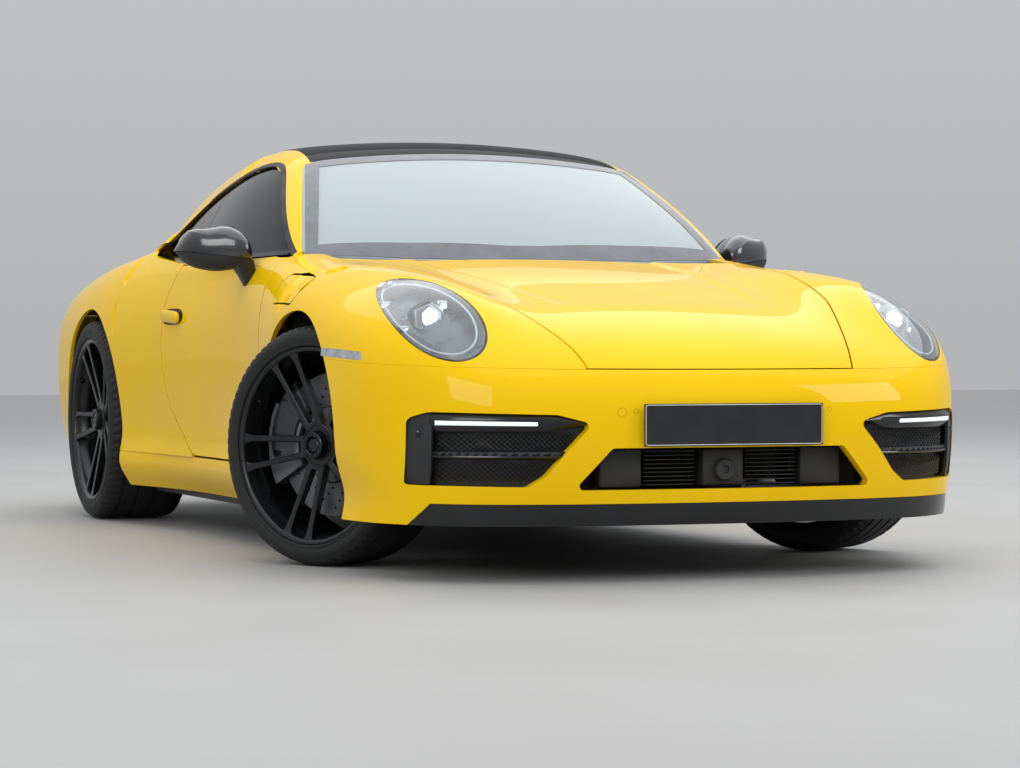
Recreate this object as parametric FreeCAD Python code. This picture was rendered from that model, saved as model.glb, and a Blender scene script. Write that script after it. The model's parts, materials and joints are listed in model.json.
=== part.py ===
import FreeCAD, Part
import math
import os

# A two-door coupe with its engine behind the rear axle, right-hand drive.
# Millimetres. +X is the car's left, +Y its rear, +Z up.
# The origin is on the ground, at the middle of the car's length and width.

Vector = FreeCAD.Vector

# Overall sizes
FRONT_OVERHANG = 985.5
WHEELBASE = 2450.0
REAR_OVERHANG = 1097.5
BODY_HALF_WIDTH = 922.0
ROOF_HEIGHT = 1309.0
FLOOR_HEIGHT = 118.0

# Wheels and tyres
FRONT_TRACK = 1570.0
REAR_TRACK = 1530.0
FRONT_TYRE_WIDTH = 245.0
REAR_TYRE_WIDTH = 305.0
FRONT_TYRE_RADIUS = 340.0
REAR_TYRE_RADIUS = 358.0
FRONT_RIM_RADIUS = 272.0
REAR_RIM_RADIUS = 284.0
FRONT_DISC_RADIUS = 204.0
REAR_DISC_RADIUS = 190.0
DISC_THICKNESS = 34.0
SPOKE_PAIRS = 5
SPOKE_WIDTH = 20.0
STEER_AT_REST = 28.0
KINGPIN_OFFSET = 45.0
STEER_RANGE = 33.0

# Body openings and walls
FRONT_ARCH_RADIUS = 366.0
REAR_ARCH_RADIUS = 384.0
ARCH_RISE = 14.0
PANEL_GAP = 5.0
FIXED_SEAM = 0.4
SKIN = 12.0
LID_THICKNESS = 20.0
BUMPER_WALL = 30.0
DOOR_THICKNESS = 110.0
GLASS = 5.0
FLOOR_THICKNESS = 22.0
BELT_HEIGHT = 892.0
BUMPER_SEAM_HEIGHT = 566.0
SILL_TOP = 258.0
WING_CORNER = 76.0
LIP_HEIGHT = 208.0
LIP_BOTTOM = 150.0
LIP_END_X = 765.0
CLEARANCE = 6.0
SEAT_FIT = 0.3

# Lamps, plate and grilles
HEADLAMP_X = 728.0
HEADLAMP_Z = 690.0
HEADLAMP_HALF_WIDTH = 105.0
HEADLAMP_HALF_HEIGHT = 113.0
HEADLAMP_DEPTH = 72.0
PROJECTOR_RADIUS = 36.0
PLATE_WIDTH = 520.0
PLATE_HEIGHT = 111.0
PLATE_BOTTOM = 357.0
PLATE_THICKNESS = 6.0
PLATE_STANDOFF = 9.0
REAR_PLATE_FLOOR = 2236.0
REAR_PLATE_BOTTOM = 525.0
TAIL_LAMP_FRONT = 1840.0
TAIL_LAMP_BOTTOM = 742.0
TAIL_LAMP_TOP = 782.0

# Places worked out from the sizes above
NOSE = -(FRONT_OVERHANG + WHEELBASE + REAR_OVERHANG - PLATE_STANDOFF) / 2
FRONT_AXLE = NOSE + FRONT_OVERHANG
REAR_AXLE = FRONT_AXLE + WHEELBASE
TAIL = REAR_AXLE + REAR_OVERHANG

# The body curves below are drawn for these places of nose, axles and tail
DRAWN_NOSE = -2266.5
DRAWN_FRONT_AXLE = -1281.0
DRAWN_REAR_AXLE = 1169.0
DRAWN_TAIL = 2266.5
DRAWN_HALF_WIDTH = 922.0
DRAWN_ROOF = 1309.0
WIDEN = BODY_HALF_WIDTH / DRAWN_HALF_WIDTH
RAISE = ROOF_HEIGHT / DRAWN_ROOF


def along(y):
    """Moves a drawn place along the car to its real one, which follows the axles and the ends."""
    drawn = (DRAWN_NOSE, DRAWN_FRONT_AXLE, DRAWN_REAR_AXLE, DRAWN_TAIL)
    real = (NOSE, FRONT_AXLE, REAR_AXLE, TAIL)
    i = 0
    if y > drawn[1]:
        i = 1
    if y > drawn[2]:
        i = 2
    return real[i] + (y - drawn[i]) * (real[i + 1] - real[i]) / (drawn[i + 1] - drawn[i])


def back(y):
    """The drawn place of a real one: the reverse of along."""
    drawn = (DRAWN_NOSE, DRAWN_FRONT_AXLE, DRAWN_REAR_AXLE, DRAWN_TAIL)
    real = (NOSE, FRONT_AXLE, REAR_AXLE, TAIL)
    i = 0
    if y > real[1]:
        i = 1
    if y > real[2]:
        i = 2
    return drawn[i] + (y - real[i]) * (drawn[i + 1] - drawn[i]) / (real[i + 1] - real[i])


class Curve:
    """A natural cubic spline through (place, value) knots, straight beyond its ends."""

    def __init__(self, *knots):
        self.t = [float(k[0]) for k in knots]
        self.v = [float(k[1]) for k in knots]
        n = len(knots)
        self.h = [self.t[i + 1] - self.t[i] for i in range(n - 1)]
        self.m = [0.0] * n
        upper = [0.0] * n
        right = [0.0] * n
        for i in range(1, n - 1):
            slope = (self.v[i + 1] - self.v[i]) / self.h[i] - (self.v[i] - self.v[i - 1]) / self.h[i - 1]
            pivot = 2 * (self.h[i - 1] + self.h[i]) - self.h[i - 1] * upper[i - 1]
            upper[i] = self.h[i] / pivot
            right[i] = (6 * slope - self.h[i - 1] * right[i - 1]) / pivot
        for i in range(n - 2, 0, -1):
            self.m[i] = right[i] - upper[i] * self.m[i + 1]

    def __call__(self, x):
        t, v, h, m = self.t, self.v, self.h, self.m
        if x <= t[0]:
            return v[0] + (x - t[0]) * ((v[1] - v[0]) / h[0] - h[0] * m[1] / 6)
        if x >= t[-1]:
            return v[-1] + (x - t[-1]) * ((v[-1] - v[-2]) / h[-1] + h[-1] * m[-2] / 6)
        i = 0
        while x > t[i + 1]:
            i += 1
        a = (t[i + 1] - x) / h[i]
        b = 1 - a
        return a * v[i] + b * v[i + 1] + ((a ** 3 - a) * m[i] + (b ** 3 - b) * m[i + 1]) * h[i] ** 2 / 6


# Height of the centre line of bonnet, belt and tail, along the car
centre_height = Curve(
    (-2300, 563), (-2150, 636), (-2000, 691), (-1750, 752), (-1500, 800), (-1281, 836), (-1000, 873),
    (-750, 903), (-500, 920), (0, 928), (600, 928), (900, 913), (1169, 895), (1400, 872), (1700, 836),
    (1900, 810), (2100, 783), (2300, 753))
# How far the bonnet falls from its centre to 700 mm out
bonnet_fall = Curve((-2300, 30), (-1000, 30), (-500, 0), (2300, 0))
# Height and place of the ridge along the top of the wings
wing_rise = Curve(
    (-2300, -20), (-2080, 5), (-1950, 52), (-1850, 74), (-1700, 80), (-1500, 68), (-1281, 50), (-1000, 26),
    (-700, 14), (-400, 0), (600, 0), (1169, 6), (1500, 6), (2000, 0), (2300, 0))
wing_ridge = Curve(
    (-2100, 640), (-1800, 668), (-1281, 695), (-900, 720), (-500, 745), (0, 760), (400, 770), (800, 790),
    (1169, 800), (1500, 790), (1900, 740), (2200, 700))
# Half width of the body at its widest line, and that line's height
half_width = Curve(
    (-2200, 880), (-1900, 897), (-1600, 904), (-1281, 912), (-1000, 893), (-800, 868), (-500, 846),
    (-100, 838), (200, 842), (500, 862), (800, 898), (1000, 916), (1169, 920), (1400, 914), (1700, 892),
    (2000, 855), (2250, 800))
widest_height = Curve((-2200, 550), (-1281, 560), (-800, 610), (300, 610), (1169, 590), (2250, 590))
# How far the side leans in above and below its widest line, and the bulge of the sill
upper_lean = Curve((-2200, 50), (-1281, 62), (-800, 70), (300, 75), (1169, 78), (2250, 90))
lower_lean = Curve((-2200, 25), (-1281, 20), (-900, 50), (-500, 60), (400, 60), (800, 40), (1169, 20),
    (2250, 60))
sill_bulge = Curve((-2200, 0), (-1100, 0), (-850, 30), (-500, 42), (500, 42), (850, 30), (1100, 0), (2250, 0))
# How far nose and tail stand back from the car's ends, by height
nose_set_back = Curve((87, 60), (187, 26), (287, 8), (407, 0), (487, 3), (547, 13), (607, 38), (667, 85),
    (747, 200))
tail_set_back = Curve(
    (138, 170), (238, 95), (338, 45), (438, 12), (548, 0), (628, 8), (688, 36), (748, 85), (808, 160),
    (888, 300))
# Centre line and half width of the cabin above the belt
cabin_height = Curve(
    (-1100, 590), (-845, 869), (-700, 1001), (-550, 1106), (-400, 1191), (-250, 1260), (-100, 1293),
    (60, 1305),
    (220, 1307), (380, 1297), (550, 1277), (720, 1245), (900, 1200), (1100, 1127), (1300, 1047), (1500, 966),
    (1700, 893), (1900, 833), (2100, 783), (2300, 743))
cabin_half_width = Curve(
    (-1100, 706), (-700, 734), (-400, 760), (0, 776), (400, 750), (800, 715), (1100, 665), (1500, 600),
    (1900, 540), (2300, 500))


def blend_outside(radius, *values):
    """The largest of the values, rounded over where two are alike."""
    top = max(values)
    return top + radius * math.log(sum(math.exp((v - top) / radius) for v in values))


def ramp(start, end, x):
    t = min(1.0, max(0.0, (x - start) / (end - start)))
    return t * t * t * (t * (6 * t - 15) + 10)


def side_at(y, z):
    """Half width of the body at a place along the car and a height."""
    widest = widest_height(y)
    above = max(0.0, (z - widest) / (900 - widest))
    below = max(0.0, (widest - z) / (widest - 200))
    bulge = sill_bulge(y) * math.exp(-((z - 215) / 75) ** 2)
    return half_width(y) - upper_lean(y) * above ** 2.5 - lower_lean(y) * below ** 2 + bulge


def top_at(x, y):
    ridge = wing_rise(y) * math.exp(-((abs(x) - wing_ridge(y)) / 175) ** 2)
    return centre_height(y) - bonnet_fall(y) * (x / 700) ** 2 + ridge


def lower_body(x, y, z):
    """Distance outside the body below its belt, negative inside."""
    step = 2.0
    slope = (top_at(x, y + step) - top_at(x, y - step)) / (2 * step)
    over_top = (z - top_at(x, y)) / math.hypot(1, slope)
    over_side = abs(x) - side_at(y, z)
    q = (x / 900) ** 2
    nose = DRAWN_NOSE + 130 * q + 280 * q ** 3 + nose_set_back(z)
    over_nose = (nose - y) * min(1.0, 900 / math.hypot(900, abs(x)))
    tail = DRAWN_TAIL - 120 * q - 230 * q ** 3 - tail_set_back(z)
    return blend_outside(45, over_top, over_side, over_nose, y - tail)


def cabin_top(x, y):
    bow = 0.25 * ramp(-100, 500, y)
    return cabin_height(200 + (y - 200) * (1 + bow * (x / 640) ** 2)) - 31 * (x / 500) ** 2


def cabin(x, y, z):
    """Distance outside the cabin's roof, screens and side windows, negative inside."""
    step = 2.0
    slope = (cabin_top(x, y + step) - cabin_top(x, y - step)) / (2 * step)
    over_top = (z - cabin_top(x, y)) / math.hypot(1, slope)
    rise = max(z - 930, -60.0)
    over_side = 0.9 * (abs(x) - cabin_half_width(y) + 0.41 * rise + 0.00063 * rise * abs(rise))
    return blend_outside(30, over_top, over_side)


def whole_body(x, y, z):
    fillet = 8 + 34 * ramp(-300, 600, y)
    return -blend_outside(fillet, -lower_body(x, y, z), -cabin(x, y, z))


def outside(form, place):
    """The chosen form at a real place: the drawn form is stretched to the car's real sizes."""
    return form(place.x / WIDEN, back(place.y), place.z / RAISE)


def cast(form, start, direction):
    """Where a ray from inside the body meets the form's surface."""
    near, far = 0.0, 1700.0
    for _ in range(26):
        middle = (near + far) / 2
        if outside(form, start + direction * middle) < 0:
            near = middle
        else:
            far = middle
    return start + direction * near


def normal_at(form, place):
    step = 3.0
    parts = []
    for axis in (Vector(step, 0, 0), Vector(0, step, 0), Vector(0, 0, step)):
        parts.append(outside(form, place + axis) - outside(form, place - axis))
    direction = Vector(*parts)
    direction.normalize()
    return direction


def spread(low, high, count):
    return [low + (high - low) * i / (count - 1) for i in range(count)]


def skin_block(form, rays, thickness):
    """A solid wall under the form's surface, from a grid of rays (start, direction)."""
    outer = [[cast(form, start, direction) for start, direction in row] for row in rays]
    inner = [[p - normal_at(form, p) * thickness for p in row] for row in outer]
    return block_between(outer, inner)


def block_between(outer, inner):
    surfaces = []
    for rows in (outer, inner):
        surface = Part.BSplineSurface()
        surface.interpolate(rows)
        surfaces.append(surface)
    faces = [s.toShape() for s in surfaces]
    low_u, high_u, low_v, high_v = surfaces[0].bounds()
    edges = []
    for s in surfaces:
        u0, u1, v0, v1 = s.bounds()
        edges.append([s.uIso(u0).toShape(), s.uIso(u1).toShape(), s.vIso(v0).toShape(), s.vIso(v1).toShape()])
    for first, second in zip(*edges):
        faces.append(Part.makeRuledSurface(first, second))
    shell = Part.makeShell(faces)
    shell.sewShape()
    solid = Part.makeSolid(shell)
    if solid.Volume < 0:
        solid.reverse()
    return solid


# Grids of rays
def rays_up(xs, ys, from_height=430.0):
    start_height = from_height * RAISE
    return [[(Vector(x, y, start_height), Vector(0, 0, 1)) for y in ys] for x in xs]


def rays_across(side, ys, zs):
    return [[(Vector(0, y, z), Vector(side, 0, 0)) for z in zs] for y in ys]


def rays_round(centre_y, angles, zs):
    """Level rays out from an upright line on the car's middle; angle 0 points at the rear."""
    rows = []
    for angle in angles:
        a = math.radians(angle)
        rows.append([(Vector(0, centre_y, z), Vector(math.sin(a), math.cos(a), 0)) for z in zs])
    return rows


def station_line(kind, value):
    """Where a section's rays start along the car, and how far the section tilts from upright."""
    if kind == "nose":
        return FRONT_AXLE, -math.radians(value)
    if kind == "tail":
        return REAR_AXLE, math.radians(value)
    return along(value), 0.0


def rays_over(side, stations, first_angle, last_angle, count):
    """Rays out from a lengthwise line inside the body, which tilts over the nose and the tail.

    A station is ("nose", tilt in degrees), ("along", drawn place) or ("tail", tilt in degrees).
    """
    rows = []
    for kind, value in stations:
        y, tilt = station_line(kind, value)
        low = first_angle(kind, value)
        high = last_angle(kind, value)
        row = []
        for angle in spread(low, high, count):
            a = math.radians(angle)
            direction = Vector(side * math.sin(a), math.cos(a) * math.sin(tilt), math.cos(a) * math.cos(tilt))
            row.append((Vector(0, y, 430 * RAISE), direction))
        rows.append(row)
    return rows


# Outlines and simple solids
PLAN = lambda a, b, depth: Vector(a, b, depth)
FRONT = lambda a, b, depth: Vector(a, depth, b)
SIDE = lambda a, b, depth: Vector(depth, a, b)


def outline(corners, view, depth):
    """A closed wire with rounded corners, each corner given as (a, b, radius)."""
    points = [(Vector(c[0], c[1], 0), c[2] if len(c) > 2 else 0.0) for c in corners]
    edges = []
    ends = []
    for i, (corner, radius) in enumerate(points):
        before = points[i - 1][0]
        after = points[(i + 1) % len(points)][0]
        to_before = before - corner
        to_after = after - corner
        if radius == 0:
            ends.append((corner, None, corner))
            continue
        half = to_before.getAngle(to_after) / 2
        reach = min(radius / math.tan(half), 0.49 * to_before.Length, 0.49 * to_after.Length)
        real_radius = reach * math.tan(half)
        start = corner + to_before.normalize() * reach
        end = corner + to_after.normalize() * reach
        bisector = (to_before + to_after).normalize()
        middle = corner + bisector * (real_radius / math.sin(half) - real_radius)
        ends.append((start, middle, end))
    place = lambda p: view(p.x, p.y, depth)
    for i, (start, middle, end) in enumerate(ends):
        if middle is not None:
            edges.append(Part.Arc(place(start), place(middle), place(end)).toShape())
        next_start = ends[(i + 1) % len(ends)][0]
        if (next_start - end).Length > 1e-4:
            edges.append(Part.LineSegment(place(end), place(next_start)).toShape())
    return Part.Wire(edges)


def prism(corners, view, low, high):
    wire = outline(corners, view, low)
    return Part.Face(wire).extrude(view(0, 0, high - low))


def box(x0, x1, y0, y1, z0, z1):
    low = Vector(min(x0, x1), min(y0, y1), min(z0, z1))
    return Part.makeBox(abs(x1 - x0), abs(y1 - y0), abs(z1 - z0), low)


def rod(start, end, radius):
    return Part.makeCylinder(radius, (end - start).Length, start, end - start)


def turned(profile, centre, axis):
    """A ring or disc: a profile of (radius, offset) corners turned about an X-wise axle."""
    points = [centre + Vector(offset, 0, radius) for radius, offset in profile]
    wire = Part.makePolygon(points + points[:1])
    return Part.Face(wire).revolve(centre, axis, 360)


def mirrored(shape):
    return shape.mirror(Vector(0, 0, 0), Vector(1, 0, 0))


def pair(shape):
    return Part.makeCompound([shape, mirrored(shape)])


def both(corners):
    """The corners of a half outline with x above 0, and their mirror image, as one closed outline."""
    return corners + [(-c[0],) + tuple(c[1:]) for c in reversed(corners)]


def solids_of(shape, smallest=2000.0):
    kept = [s for s in shape.Solids if s.Volume > smallest]
    if len(kept) == 1:
        return kept[0]
    return Part.makeCompound(kept)


def save(name, shape):
    shape = solids_of(shape)
    shape.exportStep("parts/" + name + ".step")
    print(name, len(shape.Solids), "solids", round(shape.Volume / 1e6, 2), "litres", shape.isValid())


FAR = 3000.0
MOVING = PANEL_GAP / 2
FIXED = FIXED_SEAM / 2


def grown(corners, by):
    """The same outline moved outwards by a distance."""
    points = [Vector(c[0], c[1], 0) for c in corners]
    area = sum(p.x * q.y - q.x * p.y for p, q in zip(points, points[1:] + points[:1]))
    turn = 1 if area > 0 else -1
    moved = []
    for i, point in enumerate(points):
        a = point - points[i - 1]
        b = points[(i + 1) % len(points)] - point
        a.normalize()
        b.normalize()
        normal_a = Vector(a.y, -a.x, 0) * turn
        normal_b = Vector(b.y, -b.x, 0) * turn
        shift = (normal_a + normal_b) * (by / (1 + normal_a.dot(normal_b)))
        radius = corners[i][2] if len(corners[i]) > 2 else 0.0
        bulges_out = (a.x * b.y - a.y * b.x) * turn > 0
        if radius:
            radius = max(0.5, radius + by if bulges_out else radius - by)
        moved.append((point.x + shift.x, point.y + shift.y, radius))
    return moved


def above(line, grow):
    """The space inside a shut line seen from above."""
    return prism(grown(line, grow), PLAN, 200, 1600)


def beside(line, grow):
    """The space inside a shut line seen from the side."""
    return prism(grown(line, grow), SIDE, -FAR / 2, FAR / 2)


def within(x0, x1, y0, y1, z0, z1):
    """A box between drawn places along the car."""
    return box(x0, x1, along(y0), along(y1), z0, z1)


# Shut lines seen from above
bonnet_line = both([
    (385 * WIDEN, along(-2400)), (385 * WIDEN, along(-2205), 60), (505 * WIDEN, along(-1830), 900),
    (600 * WIDEN, along(-1400), 900), (640 * WIDEN, along(-1050), 300), (646 * WIDEN, along(-905), 40),
    (400 * WIDEN, along(-872), 600), (60 * WIDEN, along(-862), 600)])
screen_line = both([
    (60 * WIDEN, along(-842), 600), (400 * WIDEN, along(-812), 600), (712 * WIDEN, along(-757), 50),
    (560 * WIDEN, along(-288), 50)])
roof_line = both([
    (535 * WIDEN, along(-288) + FIXED_SEAM, 8), (512 * WIDEN, along(-60), 900),
    (500 * WIDEN, along(300), 2000),
    (455 * WIDEN, along(985), 40), (60 * WIDEN, along(1030), 600)])
rear_screen_line = both([
    (60 * WIDEN, along(1030.4), 600), (455 * WIDEN, along(985.4), 40), (505 * WIDEN, along(1495), 60),
    (60 * WIDEN, along(1573), 800)])
lid_line = both([
    (60 * WIDEN, along(1578), 800), (520 * WIDEN, along(1500), 60), (625 * WIDEN, along(1700), 500),
    (640 * WIDEN, along(1870), 40), (60 * WIDEN, along(1880), 900)])
spoiler_line = both([
    (60 * WIDEN, along(1885), 900), (640 * WIDEN, along(1875), 40), (640 * WIDEN, along(1975), 60),
    (60 * WIDEN, along(2045), 900)])

# Shut lines seen from the side
door_line = [
    (along(-712), BELT_HEIGHT), (along(-820), 750, 200), (along(-843), 600, 300), (along(-843), 330, 90),
    (along(-790), 262, 60), (along(90), 262, 250), (along(310), 420, 250), (along(360), 610, 300),
    (along(350), 780, 200), (along(285), BELT_HEIGHT)]
window_line = [
    (along(-712), BELT_HEIGHT + 6), (along(-300), 1162, 250), (along(-110), 1211, 250),
    (along(180), 1189, 900),
    (along(480), 1126, 700), (along(720), 1032, 300), (along(872), 972, 30), (along(800), 940, 90),
    (along(330), BELT_HEIGHT + 6)]
WINDOW_SPLIT = 299.0
flap_line = [
    (along(-1205), 738, 25), (along(-1225), 818, 30), (along(-985), 832, 25), (along(-965), 745, 30)]
side_lamp_line = [
    (along(-1540), 592), (along(-1640), 588), (along(-1815), 580, 4), (along(-1800), 603, 8),
    (along(-1620), 612), (along(-1540), 613)]


def seam_at(y):
    """Height of the seam between bumper and wings."""
    return BUMPER_SEAM_HEIGHT + 0.045 * (y + 2000)


def bumper_side(grow):
    """Side outline of the front bumper, from its seam down to its lower edge."""
    return [
        (along(-2500), seam_at(-2500) + grow), (along(-1000), seam_at(-1000) + grow),
        (along(-1000), LIP_BOTTOM), (along(-2500), LIP_BOTTOM)]


def lip_space(grow):
    """The space of the black lip between the bumper's two lower corners."""
    corners = both([(LIP_END_X + 55 * WIDEN, LIP_BOTTOM - 25), (LIP_END_X, LIP_HEIGHT)])
    return prism(grown(corners, grow), FRONT, along(-2400), along(-1700))


def rear_bumper_side(grow):
    return [
        (along(1100), -200), (along(1100), 0), (along(1440), 520), (along(1620), TAIL_LAMP_BOTTOM + grow),
        (along(2600), TAIL_LAMP_BOTTOM + grow), (along(2600), -200)]


def arch(centre_y, tyre_radius, radius):
    """The wheel arch's space, right through the car: round above the axle and straight down below it."""
    height = tyre_radius + ARCH_RISE
    round_part = rod(Vector(-FAR / 2, centre_y, height), Vector(FAR / 2, centre_y, height), radius)
    return round_part.fuse(box(-FAR / 2, FAR / 2, centre_y - radius, centre_y + radius, -100, height))


front_arch = arch(FRONT_AXLE, FRONT_TYRE_RADIUS, FRONT_ARCH_RADIUS)
rear_arch = arch(REAR_AXLE, REAR_TYRE_RADIUS, REAR_ARCH_RADIUS)
above_sills = within(-FAR / 2, FAR / 2, -1281, 3000, SILL_TOP + FIXED, 1600)
above_front_bumper = prism([
    (along(-2500), seam_at(-2500) + FIXED), (along(-1281), seam_at(-1281) + FIXED), (along(-1281), 1600),
    (along(-2500), 1600)], SIDE, -FAR / 2, FAR / 2).fuse(above_sills)


def headlamp_space(side, grow):
    ellipse = Part.Ellipse(Vector(0, 0, 0), HEADLAMP_HALF_HEIGHT + grow, HEADLAMP_HALF_WIDTH + grow)
    face = Part.Face(Part.Wire([ellipse.toShape()]))
    face.rotate(Vector(0, 0, 0), Vector(0, 0, 1), 90)
    face.rotate(Vector(0, 0, 0), Vector(1, 0, 0), 90)
    face.translate(Vector(side * HEADLAMP_X * WIDEN, along(-1400), HEADLAMP_Z * RAISE))
    return face.extrude(Vector(0, along(-2300) - along(-1400), 0))


# Blocks of the body's skin, each larger than its panel, and cut to it by the shut lines
def nose_block(thickness):
    """The skin over the luggage space, from the bumper up to the windscreen."""
    stations = [("nose", t) for t in (88, 84, 80, 76, 72, 66, 58, 48, 36, 22, 10)]
    stations += [("along", y) for y in (-1281, -1150, -1020, -900, -780)]
    rays = []
    for kind, value in stations:
        y, tilt = station_line(kind, value)
        direction = Vector(0, math.sin(tilt), math.cos(tilt))
        rays.append([(Vector(x * WIDEN, y, 430 * RAISE), direction) for x in spread(-700, 700, 15)])
    return skin_block(lower_body, rays, thickness)


def wing_block(thickness):
    stations = [("nose", t) for t in (92, 86, 80, 74, 66, 56, 44, 30, 15)]
    stations += [("along", y) for y in (-1281, -1160, -1040, -930, -840, -760, -640)]
    first = lambda kind, value: 16 + 24 * (1 - value / 92) if kind == "nose" else 46
    last = lambda kind, value: 85 if kind == "nose" else 85 + 33 * ramp(-1281, -930, value)
    return skin_block(lower_body, rays_over(1, stations, first, last, 16), thickness)


def quarter_block(thickness):
    stations = [("along", y) for y in (60, 130, 205, 282, 360, 450, 560, 680, 800, 920, 1040, 1169)]
    stations += [("tail", t) for t in (10, 22, 34, 45, 55, 64, 72, 80, 88)]
    first = lambda kind, value: 24 if kind == "along" else 24 + 8 * value / 88
    last = lambda kind, value: 84 + 34 * (1 - ramp(700, 1000, value)) if kind == "along" else 84
    return skin_block(whole_body, rays_over(1, stations, first, last, 26), thickness)


def cabin_side_block(thickness, inset, low, high, places, count=14):
    first = lambda kind, value: low
    last = lambda kind, value: high
    rays = rays_over(1, [("along", y) for y in places], first, last, count)
    outer = [[cast(cabin, start, direction) for start, direction in row] for row in rays]
    near = [[p - normal_at(cabin, p) * inset for p in row] for row in outer]
    deep = [[p - normal_at(cabin, p) * (inset + thickness) for p in row] for row in outer]
    return block_between(near, deep)


def bumper_block(centre_y, turn, half_angles, heights, thickness):
    angles = [turn - a for a in reversed(half_angles)] + [turn + a for a in half_angles[1:]]
    return skin_block(lower_body, rays_round(centre_y, angles, [z * RAISE for z in heights]), thickness)


def from_above(form, line, xs, ys, thickness, grow):
    rays = rays_up([x * WIDEN for x in xs], [along(y) for y in ys])
    return skin_block(form, rays, thickness).common(above(line, grow))


# Outer panels
def bonnet():
    panel = nose_block(LID_THICKNESS).common(above(bonnet_line, -MOVING))
    low = prism([(along(-2500), seam_at(-2500) + MOVING), (along(0), seam_at(0) + MOVING), (along(0), 1600),
                 (along(-2500), 1600)], SIDE, -FAR / 2, FAR / 2)
    return panel.common(low)


def front_wing(side, flap):
    wing = wing_block(SKIN).cut(above(bonnet_line, MOVING)).cut(beside(door_line, MOVING))
    wing = wing.cut(within(-FAR, FAR, -722, 3000, 0, 1600)).cut(front_arch).common(above_front_bumper)
    wing = wing.cut(headlamp_space(1, FIXED)).cut(prism(grown(side_lamp_line, FIXED), SIDE, 700, FAR / 2))
    wing = wing.cut(above(screen_line, FIXED)).cut(within(-FAR, 646 * WIDEN, -906, 0, 0, 1600))
    wing = wing.cut(door_sweep())
    if flap:
        wing = wing.cut(beside(flap_line, MOVING)).fuse(flap_bracket())
    return wing if side > 0 else mirrored(wing)


def side_intake(side, grow):
    corners = [
        (815 * WIDEN, 256, 10), (815 * WIDEN, 430, 22), (775 * WIDEN, 447, 40), (480 * WIDEN, 440, 60),
        (388 * WIDEN, 416, 14), (450 * WIDEN, 350, 60), (505 * WIDEN, 282, 60), (548 * WIDEN, 253, 30)]
    corners = [(side * c[0], c[1], c[2]) for c in corners]
    return prism(grown(corners, grow), FRONT, along(-2400), along(-1700))


def centre_intake(grow):
    corners = both([(436 * WIDEN, 244, 12), (336 * WIDEN, 353, 20)])
    return prism(grown(corners, grow), FRONT, along(-2400), along(-1900))


FRONT_ANGLES = (0, 11, 22, 33, 41, 48, 54, 60, 66, 72, 78)
FRONT_HEIGHTS = (130, 180, 230, 290, 350, 410, 470, 520, 560, 600)


def front_bumper():
    bumper = bumper_block(FRONT_AXLE, 180, FRONT_ANGLES, FRONT_HEIGHTS, BUMPER_WALL)
    bumper = bumper.common(beside(bumper_side(-FIXED), 0)).cut(front_arch).cut(lip_space(FIXED))
    for space in (side_intake(1, 0), side_intake(-1, 0), centre_intake(0)):
        bumper = bumper.cut(space)
    for side in (1, -1):
        bumper = bumper.cut(headlamp_space(side, FIXED))
    return bumper.cut(beside(grown(side_lamp_line, FIXED), 0))


def front_lip():
    lip = bumper_block(FRONT_AXLE, 180, FRONT_ANGLES, (130, 150, 170, 190, 210, 225), BUMPER_WALL + 20)
    return lip.common(lip_space(-FIXED)).common(within(-FAR, FAR, -2500, -1700, LIP_BOTTOM, LIP_HEIGHT))


def rail():
    """The windscreen pillar and roof rail of one side, as far back as the door's rear edge."""
    places = (-830, -700, -600, -480, -360, -240, -120, 0, 130, 282)
    block = cabin_side_block(3 * SKIN, 0, 27, 64, places, 16)
    block = block.common(within(0, FAR, -820, 281.7, BELT_HEIGHT - 24, 1600))
    block = block.cut(above(screen_line, FIXED)).cut(above(roof_line, FIXED)).cut(beside(window_line, 0))
    block = block.cut(within(-FAR, FAR, -716, 300, 0, BELT_HEIGHT + 6))
    return block.cut(beside(door_line, MOVING)).cut(wing_tail())


def wing_tail():
    """The space that the rear end of the wing fills beside the windscreen's foot."""
    return within(-FAR, FAR, -1200, -722 + 0.3, 0, 1600)


def quarter(thickness=SKIN):
    """The rear wing of one side, with the pillar beside the rear screen."""
    block = quarter_block(thickness).cut(beside(door_line, MOVING))
    block = block.cut(above(roof_line, FIXED)).cut(above(rear_screen_line, FIXED))
    block = block.cut(above(lid_line, MOVING)).cut(above(spoiler_line, MOVING))
    block = block.cut(beside(window_line, 0)).cut(rear_arch)
    corner = within(FIXED, FAR, WING_CORNER, 283, SILL_TOP + FIXED, 500)
    block = block.common(within(FIXED, FAR, 282, 3000, SILL_TOP + FIXED, 1600).fuse(corner))
    return block.cut(beside(rear_bumper_side(FIXED), 0)).cut(tail_lamp_space(0))


def tail_lamp_space(inset):
    return within(-FAR, FAR, TAIL_LAMP_FRONT + inset, 3000, TAIL_LAMP_BOTTOM + inset, TAIL_LAMP_TOP - inset)


def rear_bumper():
    angles = (0, 14, 28, 37, 44, 50, 56, 62, 68, 74)
    heights = (180, 250, 320, 390, 460, 530, 600, 650, 700, 740, 770)
    block = bumper_block(REAR_AXLE, 0, angles, heights, BUMPER_WALL)
    block = block.common(beside(rear_bumper_side(-FIXED), 0)).cut(rear_arch)
    block = block.common(within(-FAR, FAR, 1169, 3000, 235, 1000))
    return block.cut(within(-330, 330, 1900, 3000, 0, 400)).cut(rear_plate_space())


def rear_plate_space():
    return within(
        -PLATE_WIDTH / 2 - 6, PLATE_WIDTH / 2 + 6, REAR_PLATE_FLOOR, 2600, REAR_PLATE_BOTTOM - 5,
        REAR_PLATE_BOTTOM + PLATE_HEIGHT + 4)


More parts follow.
